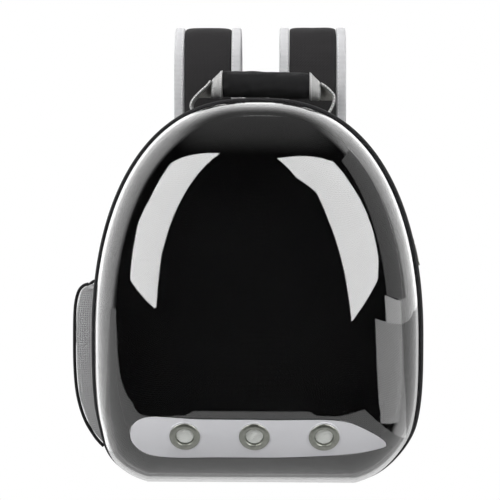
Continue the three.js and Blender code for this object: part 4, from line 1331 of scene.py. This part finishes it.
def dome_front(x, z):
    """The dome's outer surface before a place of its outline plane."""
    dome = settings_of("dome")
    root = loop_at(DOME_ROOT, 0, DOME_ROOT[2], 1440)
    turn = np.arctan2(root[:, 2] - dome.centre_level, root[:, 0])
    size = np.hypot(root[:, 2] - dome.centre_level, root[:, 0])
    order = np.argsort(turn)
    up = z - dome.centre_level
    whole = np.interp(math.atan2(up, x), turn[order], size[order], period=2 * math.pi)
    share = math.hypot(x, up) / whole
    forward = max(1 - share ** DOME_POWERS[0], 0) ** (1 / DOME_POWERS[1])
    return Vector((x, dome.root - dome.depth * forward, z))


def vent_places():
    """Middle of each vent and its axis, which stands square on the dome."""
    dome = settings_of("dome")
    step = 4 * MM
    places = []
    for k in (-1, 0, 1):
        x = k * dome.vent_spacing
        z = dome.vent_level
        sideways = dome_front(x + step, z) - dome_front(x - step, z)
        upwards = dome_front(x, z + step) - dome_front(x, z - step)
        places.append((dome_front(x, z), sideways.cross(upwards).normalized()))
    return places


def at_vent(piece, place):
    """Turns a piece made about +Z so that it stands on a vent's axis."""
    centre, axis = place
    turn = axis.to_track_quat("Z", "Y").to_matrix().to_4x4()
    piece.data.transform(Matrix.Translation(centre) @ turn)
    return piece


def drum(name, radius, low, high, sides=96):
    """A short cylinder about +Z between two heights."""
    only()
    bpy.ops.mesh.primitive_cylinder_add(
        vertices=sides, radius=radius, depth=high - low, location=(0, 0, (low + high) / 2)
    )
    piece = named(bpy.context.object, name)
    settle(piece)
    return piece


def turned(name, profile, steps=72):
    """A section of (radius, height) points spun about +Z."""
    only()
    bpy.ops.mesh.primitive_circle_add(vertices=len(profile), radius=1)
    piece = named(bpy.context.object, name)
    for vertex, (radius, height) in zip(piece.data.vertices, profile):
        vertex.co = (radius, 0, height)
    edit_all(piece)
    bpy.ops.mesh.spin(
        steps=steps, angle=2 * math.pi, center=(0, 0, 0), axis=(0, 0, 1), use_auto_merge=True
    )
    bpy.ops.object.mode_set(mode="OBJECT")
    close_up(piece)
    return piece


class CARRIER_OT_dome(bpy.types.Operator):
    """The clear blown dome with its flange, and the pale strip let into its lower front"""

    bl_idname = "carrier.add_dome"
    bl_label = "Dome and vent strip"

    def execute(self, context):
        dome = settings_of("dome")
        shell = self.add_shell(dome, "dome_clear")
        strip = self.add_shell(dome, "vent_strip_moulded")
        combine(shell, self.strip_block(dome, 0.0), "DIFFERENCE")
        smooth(shell, 30)
        dress(shell, finishes["clear"], "dome_plastic", "bubble_dome")
        for place in vent_places():
            seat = 15.8 * MM
            thick = 3.6 * MM
            cuts = [
                ("seat", seat - 0.6 * MM, -12 * MM, 12 * MM, "DIFFERENCE"),
                ("seat", seat, -thick, 0.0, "UNION"),
                ("bore", 10.4 * MM, -9 * MM, 9 * MM, "DIFFERENCE"),
            ]
            for name, radius, low, high, operation in cuts:
                combine(strip, at_vent(drum(name, radius, low, high), place), operation)
        combine(strip, self.strip_block(dome, GAP), "INTERSECT")
        take_edge_off(strip, 0.35 * MM, 2, 50)
        smooth(strip, 30)
        dress(strip, finishes["strip"], "strip_plastic", "vent_strip")
        return {"FINISHED"}

    def add_shell(self, dome, name):
        outline = loop_at(DOME_ROOT, dome.root, DOME_ROOT[2])
        rows = [loop_at(DOME_EDGE, dome.root, DOME_EDGE[2])]
        half = tuple((a + b) / 2 for a, b in zip(DOME_EDGE, DOME_ROOT))
        rows.append(loop_at(half, dome.root, half[2]))
        middle = np.array([0, 0, dome.centre_level])
        for turn in dome_turns(64):
            spread = max(math.cos(turn), 0.0) ** (2 / DOME_POWERS[0])
            forward = math.sin(turn) ** (2 / DOME_POWERS[1])
            row = middle + (outline - np.array([0, dome.root, 0]) - middle) * spread
            row[:, 1] = dome.root - dome.depth * forward
            rows.append(row)
        rows[-1][:] = (0, dome.root - dome.depth, dome.centre_level)
        shell = skin(name, np.array(rows))
        self.face_forward(shell)
        wall = shell.modifiers.new("Wall", "SOLIDIFY")
        wall.thickness = dome.wall
        wall.offset = -1
        apply_modifiers(shell)
        return shell

    def face_forward(self, shell):
        """The open shell's outer side looks towards -Y at its apex."""
        apex = min(shell.data.polygons, key=lambda face: face.center.y)
        if apex.normal.y > 0:
            edit_all(shell)
            bpy.ops.mesh.flip_normals()
            bpy.ops.object.mode_set(mode="OBJECT")

    def strip_block(self, dome, shrink):
        """A block with the strip's outline, round at the left and drawn out at the right."""
        table = [
            (0.06, 1), (0.3, 1), (0.55, 0.99), (0.82, 0.95), (0.92, 0.68), (0.985, 0.38),
            (0.995, 0.25), (0.95, 0.17), (0.8, 0.08), (0.6, 0.01), (0.35, 0), (0.14, 0),
            (0.05, 0.12), (0.005, 0.42), (0.012, 0.78),
        ]
        left = dome.strip_left + shrink
        right = dome.strip_right - shrink
        low = dome.strip_bottom + shrink
        high = dome.strip_top - shrink
        corners = [(left + (right - left) * a, low + (high - low) * b) for a, b in table]
        line = smooth_line(corners, 160, closed=True)
        rows = []
        for y in (dome.root - dome.depth - 5 * MM, dome.root - 8 * MM):
            rows.append(np.stack([line[:, 0], np.full(len(line), y), line[:, 1]], axis=1))
        middle = [row.mean(axis=0)[None].repeat(len(line), axis=0) for row in rows]
        return skin("strip_block", np.array([middle[0], *rows, middle[1]]))


class CARRIER_OT_vents(bpy.types.Operator):
    """Three plated eyelets and the pale screens inside them"""

    bl_idname = "carrier.add_vents"
    bl_label = "Vents"

    def execute(self, context):
        profile = [
            (8.75, -4.7), (12.8, -4.7), (12.8, -3.9), (10.1, -3.9), (10.1, 0.3), (14.7, 0.3),
            (14.8, 0.6), (14.65, 0.95), (14.1, 1.35), (13.2, 1.75), (12.3, 2.02), (11.4, 2.1),
            (10.5, 2.02), (9.7, 1.8), (9.1, 1.4), (8.8, 0.9), (8.75, 0.2),
        ]
        profile = [(r * MM, h * MM) for r, h in profile]
        for number, place in enumerate(vent_places(), 1):
            ring = at_vent(turned(f"vent_eyelet_{number}", profile), place)
            smooth(ring, 35)
            dress(ring, finishes["steel"], "vent_metal", f"vent_ring_{number}")
            screen = self.add_screen(f"vent_gauze_{number}", place)
            dress(screen, finishes["screen"], "screen_mesh", f"vent_screen_{number}")
        return {"FINISHED"}

    def add_screen(self, name, place):
        """A thin disc with woven wires standing proud on both faces."""
        radius = 8.4 * MM
        level = -1.8 * MM
        disc = drum(name, radius, level - 0.2 * MM, level + 0.2 * MM, 48)
        wires = []
        pitch = 1.3 * MM
        section = rounded(0.42 * MM, 0.42 * MM, 6)
        for way in (0, 1):
            for number in range(-6, 7):
                offset = number * pitch
                half = math.sqrt(max(radius**2 - offset**2, 0)) - 0.3 * MM
                if half < pitch:
                    continue
                along = np.linspace(-half, half, 33)
                lift = 0.22 * MM * np.sin(math.pi * along / pitch + math.pi * (number + way))
                flat = np.full(len(along), offset)
                line = np.stack([along, flat, level + lift], axis=1)
                if way:
                    line = line[:, [1, 0, 2]]
                side = np.tile([0.0, 1.0, 0.0] if not way else [1.0, 0.0, 0.0], (33, 1))
                up = np.tile([0.0, 0.0, 1.0], (33, 1))
                wires.append(skin("wire", ended(carried(line, side, up, section))))
        only(*wires, disc)
        bpy.ops.object.join()
        disc = named(bpy.context.object, name)
        smooth(disc, 40)
        return at_vent(disc, place)


# Handle and shoulder straps


class CARRIER_OT_handle(bpy.types.Operator):
    """The padded grip, its cuffs, and the flat ends that turn down and under on the crown"""

    bl_idname = "carrier.add_handle"
    bl_label = "Handle"

    def execute(self, context):
        handle = settings_of("handle")
        self.add_grip(handle)
        for label, side in SIDES:
            self.add_cuff(handle, label, side)
            self.add_end(handle, label, side)
        return {"FINISHED"}

    def middle(self, handle, reach):
        """A place on the grip's centre line, which slopes down a little to the right."""
        return np.array([handle.shift + reach, handle.place, handle.level - GRIP_SLOPE * reach])

    def around(self, centre, section):
        flat = np.stack([np.zeros(len(section)), section[:, 0], section[:, 1]], axis=1)
        return centre + flat

    def add_grip(self, handle):
        reach = np.linspace(-1, 1, 81)
        section = rounded(handle.width, handle.height, 56, 2.3)
        turn = np.arange(56) / 56 * 2 * math.pi
        rows = []
        for share in reach:
            near = 1 - abs(share)
            size = 0.92 + 0.08 * min(near / 0.1, 1) ** 0.5
            along = share * (handle.half_length - 0.4 * MM)
            wave = uneven(turn * 16 * MM, along, 11, 0.03) * 0.35 * MM
            pull = 0.45 * MM * math.exp(-near / 0.12) * np.sin(turn * 9 + 1)
            swell = 1 + (wave + pull)[:, None] / (handle.height / 2)
            rows.append(self.around(self.middle(handle, along), section * size * swell))
        grip = skin("handle_grip_padded", ended(np.array(rows), 0.2 * MM))
        dress(grip, finishes["grip"], "grip_cloth", "handle_grip")
        runs = []
        for y_share in (-0.36, 0.36):
            apart = np.abs(section[:, 0] / handle.width - y_share)
            k = int(np.argmin(apart + (section[:, 1] < 0)))
            seam = np.array([row[k] for row in rows])[3:-3]
            out = np.tile([0, section[k][0], section[k][1]], (len(seam), 1))
            runs.append((seam, out))
        stitches("handle_grip_stitches", runs, finishes["thread"], "grip_cloth")

    def cuff_row(self, handle, side, share, size=1.0):
        """A cuff's section: its foot is level and its top comes down towards the outer end."""
        reach = side * (handle.half_length + GAP + handle.cuff_length * share)
        height = handle.height + 2 * handle.cuff_proud
        taper = 1 - (1 - CUFF_TAPER) * share
        centre = self.middle(handle, reach) + [0, 0, (taper - 1) * height / 2]
        width = handle.width + 2 * handle.cuff_proud
        section = rounded(width * taper * size, height * taper * size, 48, 2.3)
        return centre, self.around(centre, section)

    def add_cuff(self, handle, label, side):
        rows = []
        for share in np.linspace(0, 1, 17):
            edge = min(share, 1 - share)
            size = 0.95 + 0.05 * min(edge / 0.14, 1) ** 0.5
            crease = 1 - 0.014 * math.exp(-(((share - 0.5) / 0.07) ** 2))
            rows.append(self.cuff_row(handle, side, share, size * crease)[1])
        cuff = skin("handle_cuff_sewn_" + label, ended(np.array(rows)))
        dress(cuff, finishes["cuffs"], "handle_trim", "handle_cuff_" + label)
        runs = []
        for share in (0.16, 0.84):
            centre, row = self.cuff_row(handle, side, share)
            row = np.concatenate([row, row[:1]])
            runs.append((row, row - centre))
        name = "handle_cuff_stitches_" + label
        stitches(name, runs, finishes["pale_thread"], "handle_trim", 2.6 * MM)

    def end_line(self, handle, side):
        """Middle line of a flat end, and the height of the cuff's foot."""
        tables = {
            -1: [
                (0, 0), (0.27, 0.15), (0.51, 0.25), (0.76, 0.37), (0.95, 0.5), (1, 0.61),
                (0.9, 0.72), (0.7, 0.78), (0.33, 0.73),
            ],
            1: [
                (0, 0), (0.37, 0.08), (0.72, 0.18), (0.97, 0.28), (1, 0.41), (0.87, 0.54),
                (0.62, 0.68), (0.35, 0.75), (0, 0.73),
            ],
        }
        reach = side * (handle.half_length + 0.6 * MM + handle.cuff_length)
        start = self.middle(handle, reach)
        height = handle.height + 2 * handle.cuff_proud
        foot = start[2] - height / 2
        top = foot + height * CUFF_TAPER - handle.end_thickness / 2
        widest = 4 * MM + side * 76 * MM
        drop = 44.5 * MM
        points = [
            (start[0] + (widest - start[0]) * out, handle.place, top - drop * down)
            for out, down in tables[side]
        ]
        return smooth_line(points, 90), foot

    def add_end(self, handle, label, side):
        line, foot = self.end_line(handle, side)
        floor = crown_height(line[:, 0], 3.4 * MM) + GAP + handle.end_thickness / 2
        line[:, 2] = np.maximum(line[:, 2], floor)
        ways = directions(line)
        sides = np.tile([0.0, 1.0, 0.0], (len(line), 1))
        outs = np.cross(ways, sides) * -side
        section = rounded(handle.end_width, handle.end_thickness, 32, 4.5)
        strap = skin("end_strap", ended(carried(line, sides, outs, section), 0.1 * MM))
        web = self.add_web(handle, line, foot)
        only(web, strap)
        bpy.ops.object.join()
        strap = named(bpy.context.object, "handle_end_" + label)
        smooth(strap, 40)
        dress(strap, finishes["cuffs"], "handle_trim", "handle_elbow_" + label)
        # The web's faces take the darker leather: painted shade in the bend.
        strap.data.materials.append(finishes["web"])
        for face in strap.data.polygons:
            face.material_index = int(abs(face.center.y - handle.place) < 3 * MM)
        front = line + sides * (0.12 * MM - handle.end_width / 2)
        run = (front[2:-4], -sides[2:-4])
        name = "handle_end_stitches_" + label
        stitches(name, [run], finishes["pale_thread"], "handle_trim", 3.0 * MM, 1.2 * MM)

    def add_web(self, handle, line, foot):
        """The leather that fills the bend beside the cuff, above the cuff's foot."""
        bend = line[: int(np.argmax(line[:, 2] < foot))]
        rows = []
        for y, shrink in ((-1.9, 0.5), (-1.6, 0.0), (1.6, 0.0), (1.9, 0.5)):
            upper = bend - [0, 0, shrink * MM]
            lower = bend.copy()
            lower[:, 2] = foot + shrink * MM
            row = np.concatenate([upper, lower[::-1]])
            row[:, 1] = handle.place + y * MM
            rows.append(row)
        ends = [row.mean(axis=0)[None].repeat(len(row), axis=0) for row in (rows[0], rows[-1])]
        return skin("web", np.array([ends[0], *rows, ends[1]]))


def strap_line(side, count=150):
    """Middle line of a strap, from its root up over the fold and down to its end."""
    strap = settings_of("strap")
    top = strap.peak_level - strap.thickness / 2
    rise = [(0, 0), (0, 0.2), (0, 0.42), (0.02, 0.66), (0.08, 0.84), (0.22, 0.96), (0.42, 1)]
    fall = [(0.62, 0.975), (0.8, 0.9), (0.94, 0.74), (1, 0.5), (0.95, 0.24), (0.76, 0)]
    points = []
    for behind, up in rise:
        z = strap.root_level + (top - strap.root_level) * up
        points.append((side * strap.place, strap.root_place + behind * strap.reach, z))
    for behind, up in fall:
        x = side * (strap.place + 8 * MM * (1 - up) ** 2)
        z = strap.end_level + (top - strap.end_level) * up
        points.append((x, strap.root_place + behind * strap.reach, z))
    return smooth_line(points, count)


def strap_shares(count):
    along = np.linspace(0, 1, count)
    done = np.clip((along - 0.82) / 0.18, 0, 1)
    return 1 + (STRAP_END - 1) * done


class CARRIER_OT_straps(bpy.types.Operator):
    """Two padded shoulder straps, black in the middle with grey binding along both edges"""

    bl_idname = "carrier.add_straps"
    bl_label = "Shoulder straps"

    def execute(self, context):
        strap = settings_of("strap")
        for label, side in SIDES:
            self.add_strap(strap, label, side)
        self.add_yoke(strap)
        return {"FINISHED"}

    def add_strap(self, strap, label, side):
        line = strap_line(side)
        count = len(line)
        sides = np.tile([1.0, 0.0, 0.0], (count, 1))
        outs = np.cross(directions(line), sides)
        outs = outs / np.linalg.norm(outs, axis=1)[:, None]
        shares = strap_shares(count)
        half = strap.width / 2 - strap.binding
        seam = 0.25 * MM
        section = self.padded_section(2 * (half - seam), strap.thickness)
        sizes = np.stack([shares, np.ones(count)], axis=1)
        rows = carried(line, sides, outs, section, sizes)
        along = np.linspace(0, 0.55, count)[:, None]
        across = section[None, :, 0]
        wave = uneven(across, along, 21 + side, 0.06) * 0.3 * MM
        face = np.sign(section[None, :, 1]) * (np.abs(section[None, :, 1]) > 3 * MM)
        rows = rows + (wave * face)[:, :, None] * outs[:, None]
        core = skin("strap_padding_" + label, ended(rows, 0.5 * MM))
        dress(core, finishes["strap"], "strap_cloth", "strap_core_" + label)
        runs = []
        for which, way in SIDES:
            middle = way * (strap.width / 2 - strap.binding / 2 + seam / 2)
            ribbon = rounded(strap.binding - seam, 10 * MM, 24, 5.0) + [middle, 0]
            rows = carried(line, sides, outs, ribbon, sizes)
            edge = skin(f"strap_ribbon_{which}_{label}", ended(rows, 0.4 * MM))
            name = f"strap_binding_{which}_{label}"
            dress(edge, finishes["trim"], "strap_trim", name)
            inner = way * (half + 2.2 * MM)
            for face_out in (-1, 1):
                seat = line + sides * (inner * shares)[:, None] + outs * face_out * 4.95 * MM
                runs.append((seat[2:-2], outs[2:-2] * face_out))
        stitches("strap_stitches_" + label, runs, finishes["pale_thread"], "strap_trim", 3.6 * MM)

    def padded_section(self, width, thickness):
        """Foam under cloth: crowned in the middle and drawn in at the seams."""
        section = rounded(width, thickness * 0.97, 44, 4.5)
        crown = 1 - 0.07 * (np.abs(section[:, 0]) / (width / 2)) ** 4
        section[:, 1] *= crown
        return section

    def add_yoke(self, strap):
        """A cloth patch drawn over both strap roots and sewn to the back between them."""
        floor = settings_of("tub").panel_back + GAP
        roof = strap.root_place + strap.thickness / 2 + GAP
        inner = strap.place - strap.width / 2 - GAP
        outer = strap.place + strap.width / 2 + GAP
        half = [
            (0, floor + 5.2 * MM), (inner - 6 * MM, floor + 5.8 * MM),
            (inner - 1 * MM, roof - 0.6 * MM), (inner + 4 * MM, roof + 1.7 * MM),
            (strap.place, roof + 2.0 * MM),
            (outer - 4 * MM, roof + 1.7 * MM), (outer - 0.5 * MM, roof - 0.8 * MM),
            (outer + 1.6 * MM, floor + 4 * MM), (outer + 3 * MM, floor + 2 * MM),
            (outer + 4.6 * MM, floor + 1.9 * MM),
        ]
        line = [(-x, y) for x, y in reversed(half[1:])] + half
        line = smooth_line(line, 121)
        heights = np.linspace(strap.root_level, strap.root_level + 30 * MM, 17)
        rows = []
        for k, z in enumerate(heights):
            edge = min(k, 16 - k)
            lift = 0.0 if edge > 1 else -0.35 * MM * (2 - edge)
            rows.append(np.stack([line[:, 0], line[:, 1] + lift, np.full(len(line), z)], axis=1))
        patch = skin("strap_yoke_cloth", np.array(rows), around=False)
        self.face_back(patch)
        wall = patch.modifiers.new("Wall", "SOLIDIFY")
        wall.thickness = 1.7 * MM
        wall.offset = -1
        apply_modifiers(patch)
        smooth(patch, 50)
        dress(patch, finishes["strap"], "strap_cloth", "strap_yoke")
        runs = []
        for z in (strap.root_level + 3.4 * MM, strap.root_level + 26.6 * MM):
            seat = np.stack([line[:, 0], line[:, 1], np.full(len(line), z)], axis=1)
            flat = directions(line)
            out = np.stack([-flat[:, 1], flat[:, 0], np.zeros(len(line))], axis=1)
            runs.append((seat[2:-2], out[2:-2]))
        stitches("strap_yoke_stitches", runs, finishes["thread"], "strap_cloth")

    def face_back(self, patch):
        middle = max(patch.data.polygons, key=lambda face: face.center.y)
        if middle.normal.y < 0:
            turn_over(patch)


class CARRIER_OT_hardware(bpy.types.Operator):
    """Ladder locks, the webbing through them and the anchors low on the back"""

    bl_idname = "carrier.add_hardware"
    bl_label = "Strap hardware"

    def execute(self, context):
        for label, side in SIDES:
            place = self.lock_place(side)
            self.add_lock(place, label)
            self.add_webbing(place, label)
            self.add_anchor(side, label)
        return {"FINISHED"}

    def lock_place(self, side):
        """The lock's frame: origin, across, down the webbing and out from the back."""
        end = strap_line(side)[-1]
        anchor = np.array([side * ANCHOR_PLACE, 60.0 * MM, 44 * MM])
        down = anchor - end
        reach = np.linalg.norm(down)
        down = down / reach
        across = np.array([1.0, 0, 0]) - down * down[0]
        across = across / np.linalg.norm(across)
        out = np.cross(down, across)
        if out[1] < 0:
            out = -out
        return end, across, down, out, reach

    def within(self, place, u, v, w):
        origin, across, down, out, _ = place
        return origin + across * u + down * v + out * w

    def add_lock(self, place, label):
        """Three bars between two cheeks, moulded in one."""
        size = (34 * MM, 26.5 * MM, 4 * MM)
        lock = block("ladder_lock_moulded_" + label, (0, 26.25 * MM, 0), size)
        for middle in (20.75 * MM, 31.75 * MM):
            slot = block("slot", (0, middle, 0), (26.2 * MM, 6.5 * MM, 12 * MM))
            combine(lock, slot, "DIFFERENCE")
        take_edge_off(lock, 1.1 * MM, 3, 50)
        smooth(lock, 40)
        origin, across, down, out, _ = place
        axes = np.stack([across, down, out, origin], axis=1)
        turn = Matrix([*axes.tolist(), [0, 0, 0, 1]])
        lock.data.transform(turn)
        if turn.determinant() < 0:
            turn_over(lock)
        dress(lock, finishes["lock"], "lock_plastic", "ladder_lock_" + label)

    def half_turn(self, centre, radius, upwards):
        turn = np.linspace(0, math.pi, 13)
        return [(centre + upwards * radius * math.sin(t), -radius * math.cos(t)) for t in turn]

    def ribbon(self, name, place, line, count):
        width = settings_of("strap").webbing
        line = evenly(np.array(line), count)
        flat = directions(line)
        _, across, down, out, _ = place
        spots = np.array([self.within(place, 0, v, w) for v, w in line])
        outs = np.array([down * -w + out * v for v, w in flat])
        sides = np.tile(across, (count, 1))
        section = rounded(width, WEBBING_WALL, 28, 5.0)
        return skin(name, ended(carried(spots, sides, outs, section)))

    def add_webbing(self, place, label):
        wrap = math.hypot(4, 4.5) / 2 * MM + 1.1 * MM
        line = [(3 * MM, -wrap), *self.half_turn(15.25 * MM, wrap, 1), (3 * MM, wrap)]
        tab = self.ribbon("strap_tab_webbing_" + label, place, line, 60)
        dress(tab, finishes["webbing"], "webbing", "strap_tab_" + label)
        reach = place[4]
        line = [(reach, 0), (reach * 0.85, -wrap / 2), (41.75 * MM, -wrap)]
        line += [*self.half_turn(26.25 * MM, wrap, -1), (88.25 * MM, wrap)]
        line = self.eased(line)
        webbing = self.ribbon("adjuster_webbing_" + label, place, line, 170)
        foot = self.add_foot(place)
        only(foot, webbing)
        bpy.ops.object.join()
        webbing = named(bpy.context.object, "adjuster_ribbon_" + label)
        smooth(webbing, 40)
        dress(webbing, finishes["webbing"], "webbing", "adjuster_webbing_" + label)

    def eased(self, line):
        """The free tail curls a little at its end, as cut webbing does."""
        start, end = np.array(line[-2]), np.array(line[-1])
        tail = [tuple(start + (end - start) * s + [0, 0.8 * MM * s**3]) for s in (0.4, 0.7, 1.0)]
        return [*line[:-1], *tail]

    def add_foot(self, place):
        """The webbing's lower end, sewn flat on the anchor."""
        origin, _, down, _, reach = place
        top = origin + down * reach
        points = [top + [0, 0, 0.2 * MM], top - [0, 0, 8 * MM], top - [0, 0, 19 * MM]]
        line = evenly(np.array(points), 12)
        sides = np.tile([1.0, 0, 0], (12, 1))
        outs = np.tile([0.0, 1.0, 0], (12, 1))
        section = rounded(settings_of("strap").webbing, WEBBING_WALL, 28, 5.0)
        return skin("foot", ended(carried(line, sides, outs, section)))

    def add_anchor(self, side, label):
        """A trapezoid of cloth sewn low on the back, with a box of stitches over the webbing."""
        x = side * ANCHOR_PLACE
        y = 56.6 * MM
        middle = (x, y + 1 * MM, 34 * MM)
        tab = block("anchor_tab_cloth_" + label, middle, (46 * MM, 2 * MM, 30 * MM))
        for vertex in tab.data.vertices:
            if vertex.co.z > 34 * MM:
                vertex.co.x = x + (vertex.co.x - x) * 0.62
        take_edge_off(tab, 0.7 * MM, 2, 40)
        smooth(tab, 30)
        edit_all(tab)
        bpy.ops.uv.cube_project(cube_size=1.0, scale_to_bounds=False)
        bpy.ops.object.mode_set(mode="OBJECT")
        dress(tab, finishes["tub"], "strap_cloth", "anchor_tab_" + label)
        level = 60.85 * MM
        box = [(-10, 26), (10, 26), (10, 41), (-10, 41), (-10, 26), (10, 41)]
        box = np.array([(x + a * MM, level, b * MM) for a, b in box])
        out = np.tile([0.0, 1.0, 0.0], (len(box), 1))
        runs = [(box, out)]
        edges = [[(-21, 20.5), (21, 20.5)], [(-20.3, 22), (-13.6, 46)], [(20.3, 22), (13.6, 46)]]
        for ends in edges:
            run = np.array([(x + a * MM, y + 2.05 * MM, b * MM) for a, b in ends])
            runs.append((run, out[:2]))
        name = "anchor_stitches_" + label
        stitches(name, runs, finishes["thread"], "strap_cloth", 2.8 * MM, 0.6 * MM)


# The side pocket


def pocket_spot(up, out):
    """A place on the pocket: share of the way up it, and distance out from the tub."""
    pocket = settings_of("pocket")
    level = pocket.bottom + (pocket.top - pocket.bottom) * up
    point, normal = side_at(level, -1)
    return point + normal * out


def pocket_profile(count):
    table = [
        (0, 0.22), (0.07, 0.5), (0.17, 0.76), (0.33, 0.95), (0.5, 1), (0.7, 1), (0.88, 0.98),
        (0.95, 0.88), (0.985, 0.7), (1, 0.45),
    ]
    return smooth_line(table, count)


class CARRIER_OT_pocket(bpy.types.Operator):
    """The grey mesh pocket on the left with black piping along its two outer edges"""

    bl_idname = "carrier.add_pocket"
    bl_label = "Side pocket"

    def execute(self, context):
        pocket = settings_of("pocket")
        profile = pocket_profile(41)
        back = pocket.front + pocket.depth
        rows = []
        for up, share in profile:
            rows.append(self.level_row(pocket, up, share * pocket.bulge, back))
        foot = self.level_row(pocket, profile[0][0], 0.5 * MM, back)
        rows = np.array([foot, *rows])
        bag = skin("side_pocket_mesh", rows, around=False)
        self.face_out(bag)
        wall = bag.modifiers.new("Wall", "SOLIDIFY")
        wall.thickness = 1.6 * MM
        wall.offset = -1
        apply_modifiers(bag)
        smooth(bag, 50)
        dress(bag, finishes["pocket"], "pocket_mesh", "side_pocket")
        hem = self.add_hem(rows)
        dress(hem, finishes["hem"], "pocket_mesh")
        radius = 1.7 * MM
        for label, y in (("front", pocket.front + radius), ("rear", back - radius)):
            self.add_piping(pocket, label, y, radius)
        return {"FINISHED"}

    def level_row(self, pocket, up, out, back):
        """One level of the pocket: in from the tub, round the front corner, across and back."""
        turns = [
            (0.0, pocket.front, 0.12), (0.0, pocket.front, 0.45), (0.0, pocket.front, 0.75),
            (0.0, pocket.front, 0.93), (0.35, pocket.front, 0.99), (1.6, pocket.front, 1.0),
        ]
        spots = []
        for inwards, edge, share in turns:
            spots.append((edge + inwards * MM, share))
        for share in np.linspace(0.1, 0.9, 17):
            crown = 1 + 0.055 * math.sin(math.pi * share)
            spots.append((pocket.front + pocket.depth * share, crown))
        for inwards, edge, share in reversed(turns):
            spots.append((back - inwards * MM, share))
        row = []
        for y, share in spots:
            wave = uneven(y, up * 0.16, 33, 0.05) * 0.5 * MM * min(share, 1) * (0.3 < share)
            x, z = pocket_spot(up, max(out * share, 0.0) - 1.0 * MM * (share < 0.2) + wave)
            row.append((x, y, z))
        return np.array(row)

    def face_out(self, bag):
        outer = min(bag.data.polygons, key=lambda face: face.center.x)
        if outer.normal.x > 0:
            turn_over(bag)

    def add_hem(self, rows):
        """Elastic tape folded over the open edge."""
        line = evenly(rows[-1], 90)
        along = directions(line)
        ups = np.tile([0.0, 0.0, 1.0], (len(line), 1))
        sides = np.cross(along, ups)
        sides = sides / np.linalg.norm(sides, axis=1)[:, None]
        line = line - ups * 2.0 * MM
        gather = 1 + 0.08 * np.sin(np.arange(len(line)) * 1.9)
        sizes = np.stack([gather, np.ones(len(line))], axis=1)
        section = rounded(2.4 * MM, 3.6 * MM, 16, 2.6)
        return skin("side_pocket_hem", ended(carried(line, sides, ups, section, sizes)))

    def add_piping(self, pocket, label, y, radius):
        profile = pocket_profile(60)
        if label == "rear":
            profile = evenly(profile[:56], 60)
        edge = np.array([pocket_spot(up, share * pocket.bulge) for up, share in profile])
        edge3 = np.stack([edge[:, 0], np.full(60, y), edge[:, 1]], axis=1)
        along = directions(edge3)
        out = np.cross(along, np.tile([0.0, 1.0, 0.0], (60, 1)))
        out = out * np.sign(-out[30, 0])
        line = edge3 + out * (radius + 0.6 * MM)
        side = np.tile([0.0, 1.0, 0.0], (60, 1))
        section = rounded(2 * radius, 2 * radius, 18)
        cord = skin("pocket_cord_" + label, ended(carried(line, side, out, section), 0.6 * MM))
        dress(cord, finishes["binding"], "binding_black", "pocket_piping_" + label)
        seat = edge3 + out * 0.2 * MM
        inwards = np.array([0, 1.0, 0]) * (1 if label == "front" else -1)
        seat = seat + inwards * 2.6 * MM
        run = (seat[2:-2], out[2:-2])
        stitches("pocket_stitches_" + label, [run], finishes["pale_thread"], "pocket_mesh", 3 * MM)


class CARRIER_PT_panel(bpy.types.Panel):
    """Lists the carrier's pieces and settings"""

    bl_label = "Carrier"
    bl_idname = "CARRIER_PT_panel"
    bl_space_type = "VIEW_3D"
    bl_region_type = "UI"
    bl_category = "Carrier"

    def draw(self, context):
        for group in SETTINGS:
            box = self.layout.box()
            held = settings_of(group)
            for name in held.__annotations__:
                box.prop(held, name)
        for operator in OPERATORS:
            self.layout.operator(operator.bl_idname)


SETTINGS = {
    "tub": TubSizes,
    "dome": DomeSizes,
    "handle": HandleSizes,
    "strap": StrapSizes,
    "pocket": PocketSizes,
    "colours": CarrierColours,
}
OPERATORS = (
    CARRIER_OT_stage,
    CARRIER_OT_gusset,
    CARRIER_OT_back,
    CARRIER_OT_zip,
    CARRIER_OT_rim,
    CARRIER_OT_dome,
    CARRIER_OT_vents,
    CARRIER_OT_handle,
    CARRIER_OT_straps,
    CARRIER_OT_hardware,
    CARRIER_OT_pocket,
)


def register():
    for name, group in SETTINGS.items():
        bpy.utils.register_class(group)
        pointer = bpy.props.PointerProperty(type=group)
        setattr(bpy.types.Scene, "carrier_" + name, pointer)
    for kind in (*OPERATORS, CARRIER_PT_panel):
        bpy.utils.register_class(kind)


def unregister():
    for kind in reversed((*OPERATORS, CARRIER_PT_panel)):
        bpy.utils.unregister_class(kind)
    for name, group in SETTINGS.items():
        delattr(bpy.types.Scene, "carrier_" + name)
        bpy.utils.unregister_class(group)


def main():
    register()
    finishes.update(make_materials())
    bpy.ops.carrier.add_stage()
    bpy.ops.carrier.add_gusset()
    bpy.ops.carrier.add_back()
    bpy.ops.carrier.add_zip()
    bpy.ops.carrier.add_rim()
    bpy.ops.carrier.add_dome()
    bpy.ops.carrier.add_vents()
    bpy.ops.carrier.add_handle()
    bpy.ops.carrier.add_straps()
    bpy.ops.carrier.add_hardware()
    bpy.ops.carrier.add_pocket()


if __name__ == "__main__":
    main()
